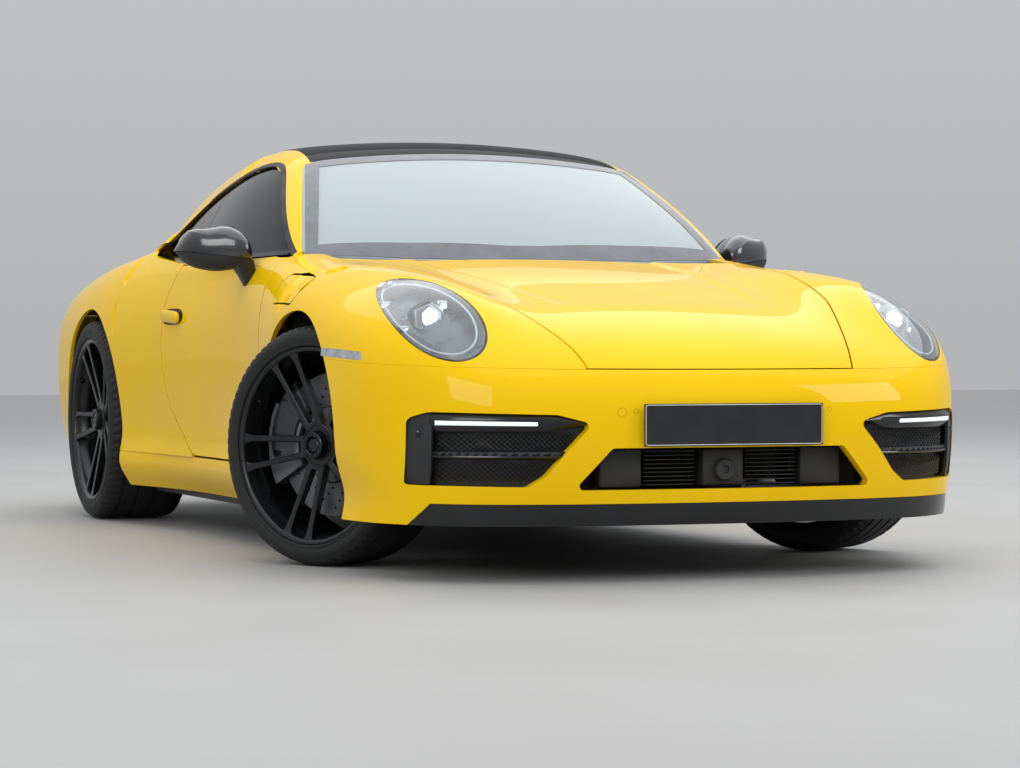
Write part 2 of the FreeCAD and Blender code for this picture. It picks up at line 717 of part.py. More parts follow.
def tail_lamp():
    angles = (0, 14, 28, 36, 44, 52, 60, 66)
    block = bumper_block(REAR_AXLE, 0, angles, (715, 735, 750, 765, 780, 800), 3 * SKIN)
    lamp = block.common(tail_lamp_space(FIXED_SEAM))
    return lamp.cut(above(spoiler_line, MOVING)).cut(above(lid_line, MOVING))


def door(side):
    rows = []
    for y in (-900, -790, -680, -560, -440, -300, -160, -20, 120, 240, 330, 420):
        highest = min(898.0, centre_height(y) - 8)
        heights = (220, 250, 280, 320, 370, 440, 520, 600, 680, 750, 810, 850, 880)
        zs = [220 + (highest - 220) * (z - 220) / 660 for z in heights]
        rows.append([cast(whole_body, Vector(0, along(y), z * RAISE), Vector(1, 0, 0)) for z in zs])
    moved = lambda by: [[p - Vector(by, 0, 0) for p in row] for row in rows]
    block = block_between(rows, moved(DOOR_THICKNESS)).common(beside(door_line, -MOVING))
    # The skin stands out past the door's front wall, and the hinges sit behind it
    behind_skin = block_between(moved(SKIN), moved(DOOR_THICKNESS + 40))
    block = block.cut(behind_skin.common(within(0, FAR, -1000, -735, 0, 1000)))
    # A slot takes the window glass
    block = block.cut(glass_sheet(CLEARANCE, DOOR_GLASS_PLACES).common(door_glass_space(CLEARANCE)))
    for z in HINGE_HEIGHTS:
        block = block.fuse(door_hinge_leaf(z))
    return block if side > 0 else mirrored(block)


DOOR_GLASS_PLACES = (-760, -650, -540, -430, -320, -200, -80, 60, 200, 360)
QUARTER_GLASS_PLACES = (270, 360, 450, 560, 680, 800, 940)


def glass_sheet(grow, places):
    sheet = cabin_side_block(GLASS + 2 * grow, 8 - grow, 30, 68, places)
    return sheet.cut(above(screen_line, CLEARANCE - grow)).cut(above(roof_line, CLEARANCE - grow))


def door_glass_space(grow):
    inside = beside(window_line, grow - CLEARANCE)
    lower = within(-FAR, FAR, -680 - grow, 284 + grow, BELT_HEIGHT - 90 - grow, BELT_HEIGHT + 20)
    return inside.fuse(lower).common(within(-FAR, FAR, -1000, WINDOW_SPLIT - 3 + grow, 0, 1600))


# Door hinges
HINGE_HEIGHTS = (430.0, 690.0)
HINGE_X = 829.0
HINGE_Y = -793.0
HINGE_PIN = 4.0
HINGE_LUG = 8.0
SWING_GAP = 2.0
HINGE_LENGTH = 36.0
PIN_FIT = 0.3


def door_hinge_leaf(z):
    y = along(HINGE_Y)
    x = HINGE_X * WIDEN
    lug = rod(Vector(x, y, z - HINGE_LENGTH / 2), Vector(x, y, z + HINGE_LENGTH / 2), HINGE_LUG)
    leaf = box(x - HINGE_LUG, x, y, along(-735) + 4, z - HINGE_LENGTH / 2, z + HINGE_LENGTH / 2)
    bore = rod(Vector(x, y, z - 100), Vector(x, y, z + 100), HINGE_PIN + PIN_FIT)
    return lug.fuse(leaf).cut(bore)


def door_edge(z):
    """The drawn place of the door's front edge at a height."""
    heights = (892.0, 750.0, 600.0, 330.0, 262.0)
    places = (-712.0, -820.0, -843.0, -843.0, -790.0)
    for i in range(4):
        if z >= heights[i + 1]:
            share = (z - heights[i + 1]) / (heights[i] - heights[i + 1])
            return places[i + 1] + share * (places[i] - places[i + 1])
    return places[-1]


def door_sweep():
    """The space that the door's front edge swings through, with the panel gap around it."""
    profile = []
    for z in (262, 330, 380, 440, 500, 560, 600, 640, 680, 720, 755, 765, 775, 785, 798):
        y = door_edge(z) - 1
        reach = math.hypot(side_at(y, z / RAISE) * WIDEN - HINGE_X * WIDEN,
            along(y) + MOVING - along(HINGE_Y))
        # Near its top the edge runs back past the hinge line and only just swings into the wing
        gap = PANEL_GAP if z < 760 else SWING_GAP
        profile.append(Vector(HINGE_X * WIDEN + reach + gap, along(HINGE_Y), z))
    foot = Vector(HINGE_X * WIDEN, along(HINGE_Y), profile[0].z)
    head = Vector(HINGE_X * WIDEN, along(HINGE_Y), profile[-1].z)
    face = Part.Face(Part.makePolygon([foot] + profile + [head, foot]))
    return face.revolve(foot, Vector(0, 0, 1), 360)


def door_hinge_bracket(z):
    """Two ears on the body's front door post, with the pin between them."""
    y = along(HINGE_Y)
    x = HINGE_X * WIDEN
    half = HINGE_LENGTH / 2
    parts = rod(Vector(x, y, z - half - 10), Vector(x, y, z + half + 10), HINGE_PIN)
    for low in (z - half - 10, z + half + 2):
        ear = rod(Vector(x, y, low), Vector(x, y, low + 8), HINGE_LUG)
        arm = box(700, x, y - HINGE_LUG, y + HINGE_LUG, low, low + 8)
        parts = parts.fuse(ear).fuse(arm)
    return parts


def cross_hinge(x, y, z, length, pin_radius, lug_radius, reach):
    """A pin along X between two ears that stand on a foot below, and the lug that turns on it."""
    pin = rod(Vector(x - length / 2 - 10, y, z), Vector(x + length / 2 + 10, y, z), pin_radius)
    fixed = pin
    for low in (x - length / 2 - 10, x + length / 2 + 2):
        ear = rod(Vector(low, y, z), Vector(low + 8, y, z), lug_radius)
        post = box(low, low + 8, y - lug_radius, y + lug_radius, z - reach, z)
        fixed = fixed.fuse(ear).fuse(post)
    lug = rod(Vector(x - length / 2, y, z), Vector(x + length / 2, y, z), lug_radius)
    bore = rod(Vector(x - length, y, z), Vector(x + length, y, z), pin_radius + PIN_FIT)
    return fixed, lug, bore


# Lids, flap and spoiler, with what carries them
LID_PIN = 4.0
LID_LUG = 8.0
LID_HINGE_LENGTH = 30.0
BONNET_HINGE_X = 600.0
BONNET_HINGE_Y = -865.0
BONNET_HINGE_Z = 868.0
ENGINE_LID_HINGE_X = 430.0
ENGINE_LID_HINGE_Y = 1440.0
ENGINE_LID_HINGE_Z = 888.0
ENGINE_LID_THICKNESS = 10.0
FLAP_HINGE_AHEAD = 19.5
FLAP_HINGE_DEPTH = 20.0
FLAP_LUG = 5.0
FLAP_PIN = 2.5
FLAP_THICKNESS = 4.0
FLAP_EASE = 0.8
SPOILER_POST_X = 380.0
SPOILER_POST_Y = 1975.0
SPOILER_POST_RADIUS = 14.0
SPOILER_POST_LENGTH = 245.0
SPOILER_TRAVEL = 60.0


def hinge_line(x, y, z, reach):
    return cross_hinge(x * WIDEN, along(y), z, LID_HINGE_LENGTH, LID_PIN, LID_LUG, reach)


def front_lid():
    panel = bonnet()
    for x in (-BONNET_HINGE_X, BONNET_HINGE_X):
        fixed, lug, bore = hinge_line(x, BONNET_HINGE_Y, BONNET_HINGE_Z, 40)
        middle = x * WIDEN
        leaf = box(middle - LID_HINGE_LENGTH / 2, middle + LID_HINGE_LENGTH / 2, along(BONNET_HINGE_Y) - 62,
                   along(BONNET_HINGE_Y), BONNET_HINGE_Z - 7, BONNET_HINGE_Z + 3)
        panel = panel.fuse(lug).fuse(leaf).cut(bore)
    return panel


def cowl():
    """The black tray between bonnet and windscreen; it carries the bonnet's hinges."""
    tray = within(-640, 640, -935, -800 - SEAT_FIT, 806, 822)
    for side in (-1, 1):
        tray = tray.fuse(within(side * 632, side * 640, -900, -801, 806, 862))
    for x in (-BONNET_HINGE_X, BONNET_HINGE_X):
        tray = tray.fuse(hinge_line(x, BONNET_HINGE_Y, BONNET_HINGE_Z, 55)[0])
    # The wiper arms at rest
    for x in (-350, 230):
        tray = tray.fuse(within(x - 240, x + 240, -850, -842, 821, 840))
    return tray


def under_surface(depth, xs, ys):
    """The space from a depth under the body's upper surface up into the air."""
    rows = [[cast(whole_body, start, direction) for start, direction in row]
            for row in rays_up([x * WIDEN for x in xs], [along(y) for y in ys])]
    low = [[p - Vector(0, 0, depth) for p in row] for row in rows]
    high = [[p + Vector(0, 0, 200) for p in row] for row in rows]
    return block_between(high, low)


def engine_lid():
    ys = (1440, 1540, 1640, 1740, 1840, 1940)
    xs = spread(-700, 700, 13)
    panel = from_above(whole_body, lid_line, xs, ys, ENGINE_LID_THICKNESS, -MOVING)
    panel = panel.cut(above(lid_grille_line, 0))
    y = along(ENGINE_LID_HINGE_Y)
    z = ENGINE_LID_HINGE_Z
    for x in (-ENGINE_LID_HINGE_X, ENGINE_LID_HINGE_X):
        fixed, lug, bore = hinge_line(x, ENGINE_LID_HINGE_Y, z, 40)
        # The arm dips under the rear window's edge, so that it clears the glass as the lid swings up
        low = x * WIDEN - LID_HINGE_LENGTH / 2
        neck = prism([
            (y - 6, z - 4), (y + 28, z - 79), (y + 104, z - 66), (y + 104, z + 20), (y + 94, z + 20),
            (y + 94, z - 56),
            (y + 36, z - 68), (y + 6, z + 2)], SIDE, low, low + LID_HINGE_LENGTH)
        neck = neck.cut(under_surface(3, xs, ys))
        panel = panel.fuse(lug).fuse(neck).cut(bore)
    return panel


def engine_lid_posts():
    """The posts of the engine lid's hinges, which stand on the rear rails."""
    posts = None
    for x in (-ENGINE_LID_HINGE_X, ENGINE_LID_HINGE_X):
        ears = hinge_line(x, ENGINE_LID_HINGE_Y, ENGINE_LID_HINGE_Z, 70)[0]
        middle = x * WIDEN
        y = along(ENGINE_LID_HINGE_Y)
        post = box(middle - 25, middle + 25, y - LID_LUG, y + LID_LUG, 265, ENGINE_LID_HINGE_Z - 60)
        ears = ears.fuse(post)
        posts = ears if posts is None else posts.fuse(ears)
    return posts


lid_grille_line = both([(470 * WIDEN, along(1610), 30), (500 * WIDEN, along(1810), 30)])


def lid_grille():
    """Upright slats that fill the opening of the engine lid."""
    ys = (1540, 1640, 1740, 1840, 1900)
    sheet = from_above(whole_body, lid_grille_line, spread(-700, 700, 13), ys, ENGINE_LID_THICKNESS, -FIXED)
    slats = []
    count = 16
    pitch = 2 * 500 * WIDEN / count
    for i in range(count):
        x = -500 * WIDEN + pitch * (i + 0.5)
        slats.append(box(x - 0.22 * pitch, x + 0.22 * pitch, along(1590), along(1830), 600, 1100))
    rails = [box(-520 * WIDEN, 520 * WIDEN, along(y) - 6, along(y) + 6, 600, 1100) for y in (1650, 1770)]
    ribs = slats[0]
    for piece in slats[1:] + rails:
        ribs = ribs.fuse(piece)
    return sheet.common(ribs)


def spoiler():
    ys = (1800, 1880, 1940, 2000, 2060, 2110)
    blade = from_above(whole_body, spoiler_line, spread(-700, 700, 13), ys, LID_THICKNESS, -MOVING)
    for x in (-SPOILER_POST_X, SPOILER_POST_X):
        foot = Vector(x, along(SPOILER_POST_Y), 560)
        blade = blade.fuse(rod(foot, foot + Vector(0, 0, SPOILER_POST_LENGTH), SPOILER_POST_RADIUS))
    return blade


def spoiler_guides():
    """The beam across the tail with the two tubes in which the spoiler's posts slide."""
    beam = within(-560, 560, 1950, 2000, 520, 640)
    for side in (-1, 1):
        beam = beam.fuse(within(side * 400, side * 470, 1950, 2000, 265, 521))
        foot = Vector(side * SPOILER_POST_X, along(SPOILER_POST_Y), 500)
        beam = beam.fuse(rod(foot, foot + Vector(0, 0, 190), SPOILER_POST_RADIUS + 8))
    for side in (-1, 1):
        foot = Vector(side * SPOILER_POST_X, along(SPOILER_POST_Y), 540)
        beam = beam.cut(rod(foot, foot + Vector(0, 0, 400), SPOILER_POST_RADIUS + PIN_FIT))
    return beam


def flap_frame():
    """Where the fuel flap's hinge sits: a point, and the directions rearwards, outwards and up along its pin.

    All is drawn on the car's left; the flap itself is on the right.
    """
    ends = []
    for y, z in ((-1205, 745), (-1225, 812)):
        surface = cast(lower_body, Vector(0, along(y) - FLAP_HINGE_AHEAD, z), Vector(1, 0, 0))
        ends.append(surface - normal_at(lower_body, surface) * FLAP_HINGE_DEPTH)
    up = (ends[1] - ends[0]).normalize()
    middle = (ends[0] + ends[1]) * 0.5
    rearward = Vector(0, 1, 0)
    outward = up.cross(rearward * -1).normalize()
    rearward = outward.cross(up) * -1
    return middle, rearward.normalize(), outward, up


def on_flap_hinge(shape):
    """Moves a shape drawn about the hinge pin (x outwards, y rearwards, z along the pin) to its place."""
    middle, rearward, outward, up = flap_frame()
    matrix = FreeCAD.Matrix(
        outward.x, rearward.x, up.x, middle.x, outward.y, rearward.y, up.y, middle.y,
        outward.z, rearward.z, up.z, middle.z, 0, 0, 0, 1)
    return shape.transformed(matrix)


def flap_bracket():
    """Two ears inside the wing, with the pin between them."""
    bracket = rod(Vector(0, 0, -22), Vector(0, 0, 22), FLAP_PIN)
    for low in (-22, 16):
        bracket = bracket.fuse(rod(Vector(0, 0, low), Vector(0, 0, low + 6), FLAP_LUG))
        bracket = bracket.fuse(box(0, FLAP_HINGE_DEPTH - 4, -FLAP_LUG, FLAP_LUG, low, low + 6))
    return on_flap_hinge(bracket)


def fuel_flap():
    panel = wing_block(FLAP_THICKNESS).common(beside(flap_line, -MOVING - FLAP_EASE))
    reach = FLAP_HINGE_AHEAD + 26
    # The arm dips inwards round the edge of the wing, so that it clears the edge as the flap opens
    top = FLAP_HINGE_DEPTH + 22
    arm = prism([
        (0, -4), (-31, 4.5), (-31, reach + 3), (top, reach + 3), (top, reach - 3), (-26, reach - 3),
        (-26, 10), (2, 4)],
        PLAN, -14, 14)
    lug = rod(Vector(0, 0, -14), Vector(0, 0, 14), FLAP_LUG)
    bore = rod(Vector(0, 0, -40), Vector(0, 0, 40), FLAP_PIN + PIN_FIT)
    arm = on_flap_hinge(arm.fuse(lug).cut(bore)).cut(wing_block(-40))
    return mirrored(panel.fuse(arm))


left_door = door(1)

# Mirrors
MIRROR_TIP = 1014.0
MIRROR_HEAD_Y = -500.0


def mirror():
    """The mirror's head, shaped by its outlines from the front, above and the side, on its arm."""
    tip = MIRROR_TIP * WIDEN
    front_view = prism([
        (818, 930, 20), (822, 984, 24), (880, 998, 90), (985, 984, 50), (tip, 936, 40), (990, 902, 26),
        (845, 893, 24)],
        FRONT, -FAR, FAR)
    y = along(MIRROR_HEAD_Y)
    top_view = prism([
        (815, y - 10, 20), (836, y - 66, 50), (930, y - 84, 200), (1000, y - 50, 60), (tip + 1, y + 10, 20),
        (1004, y + 44, 6), (822, y + 44, 6)], PLAN, 0, 2000)
    side_view = prism([
        (y - 90, 940, 40), (y - 60, 985, 50), (y - 10, 1000, 60), (y + 50, 990), (y + 50, 890),
        (y - 40, 890, 40)],
        SIDE, 0, FAR)
    arm = prism([(795, 860), (845, 836, 10), (856, 880, 20), (866, 905), (858, 926), (826, 926),
        (800, 880, 10)], FRONT,
                y - 52, y + 20)
    head = front_view.common(top_view).common(side_view)
    seat = left_door.copy()
    seat.translate(Vector(SEAT_FIT, 0, SEAT_FIT))
    return head.fuse(arm).cut(left_door).cut(seat)


# Lamps, grilles and plates
def wing_layer(near, deep):
    stations = [("nose", t) for t in (92, 86, 80, 74, 66, 56, 44, 30)]
    rays = rays_over(1, stations, lambda kind, value: 22 + 18 * (1 - value / 92), lambda kind, value: 85, 14)
    return layer(rays, near, deep)


def layer(rays, near, deep):
    outer = [[cast(lower_body, start, direction) for start, direction in row] for row in rays]
    rows = [[[p - normal_at(lower_body, p) * depth for p in row] for row in outer] for depth in (near, deep)]
    return block_between(*rows)


def bumper_layer(near, deep):
    angles = [180 - a for a in reversed(FRONT_ANGLES)] + [180 + a for a in FRONT_ANGLES[1:]]
    return layer(rays_round(FRONT_AXLE, angles, [z * RAISE for z in FRONT_HEIGHTS]), near, deep)


def headlamp_lens():
    return pair(wing_layer(0.5, 5).common(headlamp_space(1, 0)))


def headlamp_unit():
    """The lamp's bowl behind its lens, with the round projector that stands in it."""
    stations = [("nose", t) for t in (92, 86, 80, 74, 66, 56, 44, 30)]
    rays = rays_over(1, stations, lambda kind, value: 22 + 18 * (1 - value / 92), lambda kind, value: 85, 14)
    outer = [[cast(lower_body, start, direction) for start, direction in row] for row in rays]
    inward = Vector(-0.35, 0.85, -0.39)
    moved = lambda depth: [[p + inward * depth for p in row] for row in outer]
    bowl = block_between(moved(HEADLAMP_DEPTH - 8), moved(HEADLAMP_DEPTH)).common(headlamp_space(1, -FIXED))
    ring = headlamp_space(1, -FIXED).cut(headlamp_space(1, -4))
    wall = block_between(moved(14), moved(HEADLAMP_DEPTH - 4)).common(ring)
    centre = Vector(HEADLAMP_X * WIDEN, along(-1838), HEADLAMP_Z * RAISE)
    return pair(bowl.fuse(wall).fuse(rod(centre, centre + Vector(0, 70, 0), PROJECTOR_RADIUS)))


def side_lamp():
    return pair(wing_layer(0.5, 10).common(prism(side_lamp_line, SIDE, 700, FAR / 2)))


def front_grille():
    plate = bumper_layer(34, 42)
    bars = bumper_layer(12, 36)
    openings = [side_intake(1, -FIXED), side_intake(-1, -FIXED), centre_intake(-FIXED)]
    pieces = []
    for opening, levels in zip(openings, ((332, 344), (332, 344), (292, 300))):
        slat = box(-FAR, FAR, along(-2500), along(-1500), levels[0], levels[1])
        pieces.append(plate.common(opening).fuse(bars.common(opening).common(slat)))
    return Part.makeCompound(pieces)


def daytime_lamp():
    bar = bumper_layer(6, 30)
    space = prism([(478, 424, 5), (478, 435, 5), (792, 432, 5), (792, 421, 5)], FRONT, along(-2400),
        along(-1700))
    return pair(bar.common(space))


def front_plate():
    y = NOSE - PLATE_STANDOFF
    plate = box(-PLATE_WIDTH / 2, PLATE_WIDTH / 2, y, y + PLATE_THICKNESS, PLATE_BOTTOM,
        PLATE_BOTTOM + PLATE_HEIGHT)
    holder = box(-PLATE_WIDTH / 2 + 20, PLATE_WIDTH / 2 - 20, y + PLATE_THICKNESS, y + 40, PLATE_BOTTOM + 10,
        PLATE_BOTTOM + PLATE_HEIGHT - 10)
    return plate.fuse(holder.cut(bumper_layer(0, 50)))


def rear_plate():
    y = along(REAR_PLATE_FLOOR) + SEAT_FIT
    return box(
        -PLATE_WIDTH / 2, PLATE_WIDTH / 2, y, y + PLATE_THICKNESS, REAR_PLATE_BOTTOM,
        REAR_PLATE_BOTTOM + PLATE_HEIGHT)


# Wheels, axles and brakes
AXLE_WAY = Vector(1, 0, 0)
RIM_WALL = 12.0
HUB_RADIUS = 60.0
SPINDLE_RADIUS = 30.0
CALIPER_WALL = 16.0


def tyre(centre, side, width, radius, rim_radius):
    half = width / 2
    profile = [
        (rim_radius + SEAT_FIT, -half + 14), ((radius + rim_radius) / 2, -half), (radius - 15, -half + 10),
        (radius, -half + 36), (radius, half - 36), (radius - 15, half - 10),
        ((radius + rim_radius) / 2, half),
        (rim_radius + SEAT_FIT, half - 14)]
    return turned([(r, side * o) for r, o in profile], centre, AXLE_WAY)


def spoke(centre, side, angle, skew, half, rim_radius):
    """One spoke: its side outline, given its width and turned to its place."""
    low = HUB_RADIUS - 12
    high = rim_radius - RIM_WALL + 2
    outer_low = half - 50
    outer_high = half - 16
    outline_points = [(outer_low - 26, low), (outer_low, low), (outer_high, high), (outer_high - 24, high)]
    points = [Vector(side * o, -SPOKE_WIDTH / 2, r) for o, r in outline_points]
    bar = Part.Face(Part.makePolygon(points + points[:1])).extrude(Vector(0, SPOKE_WIDTH, 0))
    bar.translate(Vector(0, 20 * skew, 0))
    bar.rotate(Vector(0, 0, 0), AXLE_WAY, -5.5 * skew)
    bar.rotate(Vector(0, 0, 0), AXLE_WAY, angle)
    bar.translate(centre)
    return bar


def rim(centre, side, width, rim_radius, first_angle):
    half = width / 2
    barrel = turned([
        (rim_radius - RIM_WALL, side * (-half + 12)), (rim_radius, side * (-half + 12)),
        (rim_radius, side * (half - 12)),
        (rim_radius - RIM_WALL, side * (half - 12))], centre, AXLE_WAY)
    hub_in = centre + AXLE_WAY * side * (half - 92)
    hub_out = centre + AXLE_WAY * side * (half - 46)
    wheel = barrel.fuse(rod(hub_in, hub_out, HUB_RADIUS))
    bars = []
    for i in range(SPOKE_PAIRS):
        for skew in (-1, 1):
            bars.append(spoke(centre, side, side * (first_angle + 360.0 / SPOKE_PAIRS * i), skew, half,
                rim_radius))
    wheel = wheel.multiFuse(bars)
    nut = rod(hub_out - AXLE_WAY * side, hub_out + AXLE_WAY * side * 24, 38)
    bore = rod(centre - AXLE_WAY * side * 100, hub_out - AXLE_WAY * side * 14, SPINDLE_RADIUS + PIN_FIT)
    return wheel.fuse(nut).cut(bore)


def disc(centre, side, radius, face):
    """The brake disc; its outer face stands at the hub's inner end."""
    profile = [(HUB_RADIUS - 10, face - DISC_THICKNESS), (radius, face - DISC_THICKNESS), (radius, face),
        (HUB_RADIUS - 10, face)]
    return turned([(r, side * o) for r, o in profile], centre, AXLE_WAY)


def hub_carrier(centre, side, radius, face, half, boss_offset):
    """Upright with the spindle and the caliper over the disc."""
    spindle_end = centre + AXLE_WAY * side * (half - 46 - 15)
    boss = centre + AXLE_WAY * side * boss_offset
    upright = rod(boss - Vector(0, 0, ARM_GAP / 2), boss + Vector(0, 0, ARM_GAP / 2), 20)
    body = upright.fuse(rod(boss, spindle_end, SPINDLE_RADIUS))
    sector = []
    for angle in spread(-30, 30, 7):
        a = math.radians(angle)
        sector.append(Vector(0, (radius + 30) * math.cos(a), (radius + 30) * math.sin(a)))
    for angle in spread(30, -30, 7):
        a = math.radians(angle)
        sector.append(Vector(0, (radius * 0.56) * math.cos(a), (radius * 0.56) * math.sin(a)))
    outer = face + CLEARANCE + CALIPER_WALL
    inner = face - DISC_THICKNESS - CLEARANCE - CALIPER_WALL
    caliper = Part.Face(Part.makePolygon(sector + sector[:1])).extrude(Vector(side * (outer - inner), 0, 0))
    caliper.translate(centre + AXLE_WAY * side * inner)
    profile = [(0, inner + CALIPER_WALL), (radius + CLEARANCE, inner + CALIPER_WALL),
        (radius + CLEARANCE, outer - CALIPER_WALL), (0, outer - CALIPER_WALL)]
    slot = turned([(r, side * o) for r, o in profile], centre, AXLE_WAY)
    bracket = box(centre.x + side * inner, centre.x + side * (inner + CALIPER_WALL - 2), centre.y,
        centre.y + radius * 0.62, centre.z - 50, centre.z + 50)
    return body.fuse(caliper.cut(slot)).fuse(bracket)


ARM_GAP = 264.0
ARM_THICKNESS = 18.0


def wishbones(centre, side, boss_offset, inner_x, spread_half):
    """Upper and lower arm of one wheel, from the body's side to the upright's ends."""
    end = centre.x + side * boss_offset
    arms = []
    for sign in (-1, 1):
        z = centre.z + sign * (ARM_GAP / 2 + SEAT_FIT)
        low = z if sign > 0 else z - ARM_THICKNESS
        corners = [
            (side * inner_x, centre.y - spread_half), (side * inner_x, centre.y - spread_half + 50),
            (end - side * 60, centre.y),
            (side * inner_x, centre.y + spread_half - 50), (side * inner_x, centre.y + spread_half),
            (end, centre.y + 20),
            (end, centre.y - 20)]
        arm = prism(corners, PLAN, low, low + ARM_THICKNESS)
        arms.append(arm.fuse(rod(Vector(end, centre.y, low), Vector(end, centre.y, low + ARM_THICKNESS), 22)))
    return arms


def front_suspension():
    whole = within(-339, 339, -1340, -1222, 172 + SEAT_FIT, 240)
    whole = whole.fuse(within(-446, 446, -1340, -1222, 200 + SEAT_FIT, 240))
    for side in (-1, 1):
        centre = Vector(side * FRONT_TRACK / 2, FRONT_AXLE, FRONT_TYRE_RADIUS)
        for arm in wishbones(centre, side, -KINGPIN_OFFSET, 432, 150):
            whole = whole.fuse(arm)
        foot = Vector(side * 540, FRONT_AXLE + 40, 200)
        whole = whole.fuse(rod(foot, Vector(side * 535, FRONT_AXLE + 40, 690), 32))
        whole = whole.fuse(box(side * 430.3, side * 446, FRONT_AXLE - 150, FRONT_AXLE + 150, 189, 500))
    return whole


def rear_suspension():
    parts = []
    for side in (-1, 1):
        centre = Vector(side * REAR_TRACK / 2, REAR_AXLE, REAR_TYRE_RADIUS)
        carrier = hub_carrier(centre, side, REAR_DISC_RADIUS, REAR_DISC_FACE, REAR_TYRE_WIDTH / 2,
            REAR_BOSS_OFFSET)
        for arm in wishbones(centre, side, REAR_BOSS_OFFSET, 470.3, 170):
            carrier = carrier.fuse(arm)
        shaft_end = centre + AXLE_WAY * side * (REAR_BOSS_OFFSET - 15)
        carrier = carrier.fuse(rod(Vector(side * 175, REAR_AXLE, REAR_TYRE_RADIUS), shaft_end, 16))
        foot = Vector(side * 573, REAR_AXLE + 60, 215)
        carrier = carrier.fuse(rod(foot, foot + Vector(0, 0, 485), 28))
        arm_link = box(centre.x + side * (REAR_BOSS_OFFSET - 20), centre.x + side * (REAR_BOSS_OFFSET + 20),
            REAR_AXLE - 20, REAR_AXLE + 20, REAR_TYRE_RADIUS - ARM_GAP / 2 - 4,
            REAR_TYRE_RADIUS + ARM_GAP / 2 + 4)
        parts.append(carrier.fuse(arm_link))
    return Part.makeCompound(parts)


FRONT_DISC_FACE = 16.0
REAR_DISC_FACE = 40.0
REAR_BOSS_OFFSET = -30.0
FIRST_SPOKE = 24.0


def wheel_set():
    """Every wheel: name, side, turn of the steering at rest, and its sizes."""
    return (
        ("front_left", 1, True), ("front_right", -1, True), ("rear_left", 1, False),
        ("rear_right", -1, False))


def steered(shape, side):
    kingpin = Vector(side * (FRONT_TRACK / 2 - KINGPIN_OFFSET), FRONT_AXLE, 0)
    shape.rotate(kingpin, Vector(0, 0, 1), STEER_AT_REST)
    return shape


def save_wheel(name, side, is_front):
    if is_front:
        centre = Vector(side * FRONT_TRACK / 2, FRONT_AXLE, FRONT_TYRE_RADIUS)
        width, radius, rim_radius = FRONT_TYRE_WIDTH, FRONT_TYRE_RADIUS, FRONT_RIM_RADIUS
        disc_radius, face = FRONT_DISC_RADIUS, FRONT_DISC_FACE
        place = lambda shape: steered(shape, side)
    else:
        centre = Vector(side * REAR_TRACK / 2, REAR_AXLE, REAR_TYRE_RADIUS)
        width, radius, rim_radius = REAR_TYRE_WIDTH, REAR_TYRE_RADIUS, REAR_RIM_RADIUS
        disc_radius, face = REAR_DISC_RADIUS, REAR_DISC_FACE
        place = lambda shape: shape
    save("tyre_" + name, place(tyre(centre, side, width, radius, rim_radius)))
    save("rim_" + name, place(rim(centre, side, width, rim_radius, FIRST_SPOKE)))
    save("brake_disc_" + name, place(disc(centre, side, disc_radius, face)))
    if is_front:
        carrier = hub_carrier(centre, side, disc_radius, face, width / 2, -KINGPIN_OFFSET)
        save("knuckle_" + name.split("_")[1], place(carrier))


# Inner structure
def chassis():
    frame = within(-764 + SEAT_FIT, 764 - SEAT_FIT, -905, 775, FLOOR_HEIGHT, FLOOR_HEIGHT + FLOOR_THICKNESS)
    pieces = [
        within(-430, 430, -2110, -905, 150, 172), within(-560, 560, -2150, -2110, 360, 430),
        within(-700, 700, -800, -780, 130, 838), within(-700, 700, 600, 620, 130, 850),
        within(-560, 560, 2050, 2090, 440, 520)]
    for side in (-1, 1):
        x = lambda a, b: (side * a, side * b)
        pieces.append(within(*x(640, 764 - SEAT_FIT), -905, 775, FLOOR_HEIGHT, 250))
        pieces.append(within(*x(690, 764 - SEAT_FIT), -812, -775, 130, 838))
        pieces.append(within(*x(690, 764 - SEAT_FIT), 385, 425, 130, 850))
        pieces.append(within(*x(340, 430), -2112, -780, 150, 200))
        pieces.append(within(*x(340, 430), -2130, -2050, 150, 430))
        pieces.append(within(*x(400, 470), 600, 2090, 200, 270))
        pieces.append(within(*x(400, 470), 2050, 2090, 200, 520))
        for z in HINGE_HEIGHTS:
            bracket = door_hinge_bracket(z)
            pieces.append(bracket if side > 0 else mirrored(bracket))
    return frame.multiFuse(pieces).fuse(spoiler_guides()).fuse(engine_lid_posts())


def side_sill():
    rows = rays_across(1, [along(y) for y in (-960, -860, -700, -500, -200, 100, 400, 600, 720, 820)],
                       [z * RAISE for z in (130, 150, 175, 200, 225, 250, 275)])
    outer = [[cast(lower_body, start, direction) for start, direction in row] for row in rows]
    inner = [[p - Vector(90, 0, 0) for p in row] for row in outer]
    sill = block_between(outer, inner).common(within(764, FAR, -960, 820, FLOOR_HEIGHT + 20, 258 - FIXED))
    return pair(sill.cut(front_arch).cut(rear_arch))


def wheel_liner(centre_y, tyre_radius, inner_radius, inner_x):
    centre = Vector(0, centre_y, tyre_radius + ARCH_RISE)
    wall = 4.0
    ring = turned([(inner_radius, inner_x), (inner_radius + wall, inner_x), (inner_radius + wall, 840),
        (inner_radius, 840)],
                  centre, AXLE_WAY)
    side_wall = rod(centre + AXLE_WAY * inner_x, centre + AXLE_WAY * (inner_x + wall), inner_radius + wall)
    hole = box(inner_x - 10, inner_x + 20, centre_y - 200, centre_y + 200, 100, 520)
    liner = ring.fuse(side_wall.cut(hole))
    return liner.cut(box(0, FAR, centre_y - 600, centre_y + 600, -100, 262))


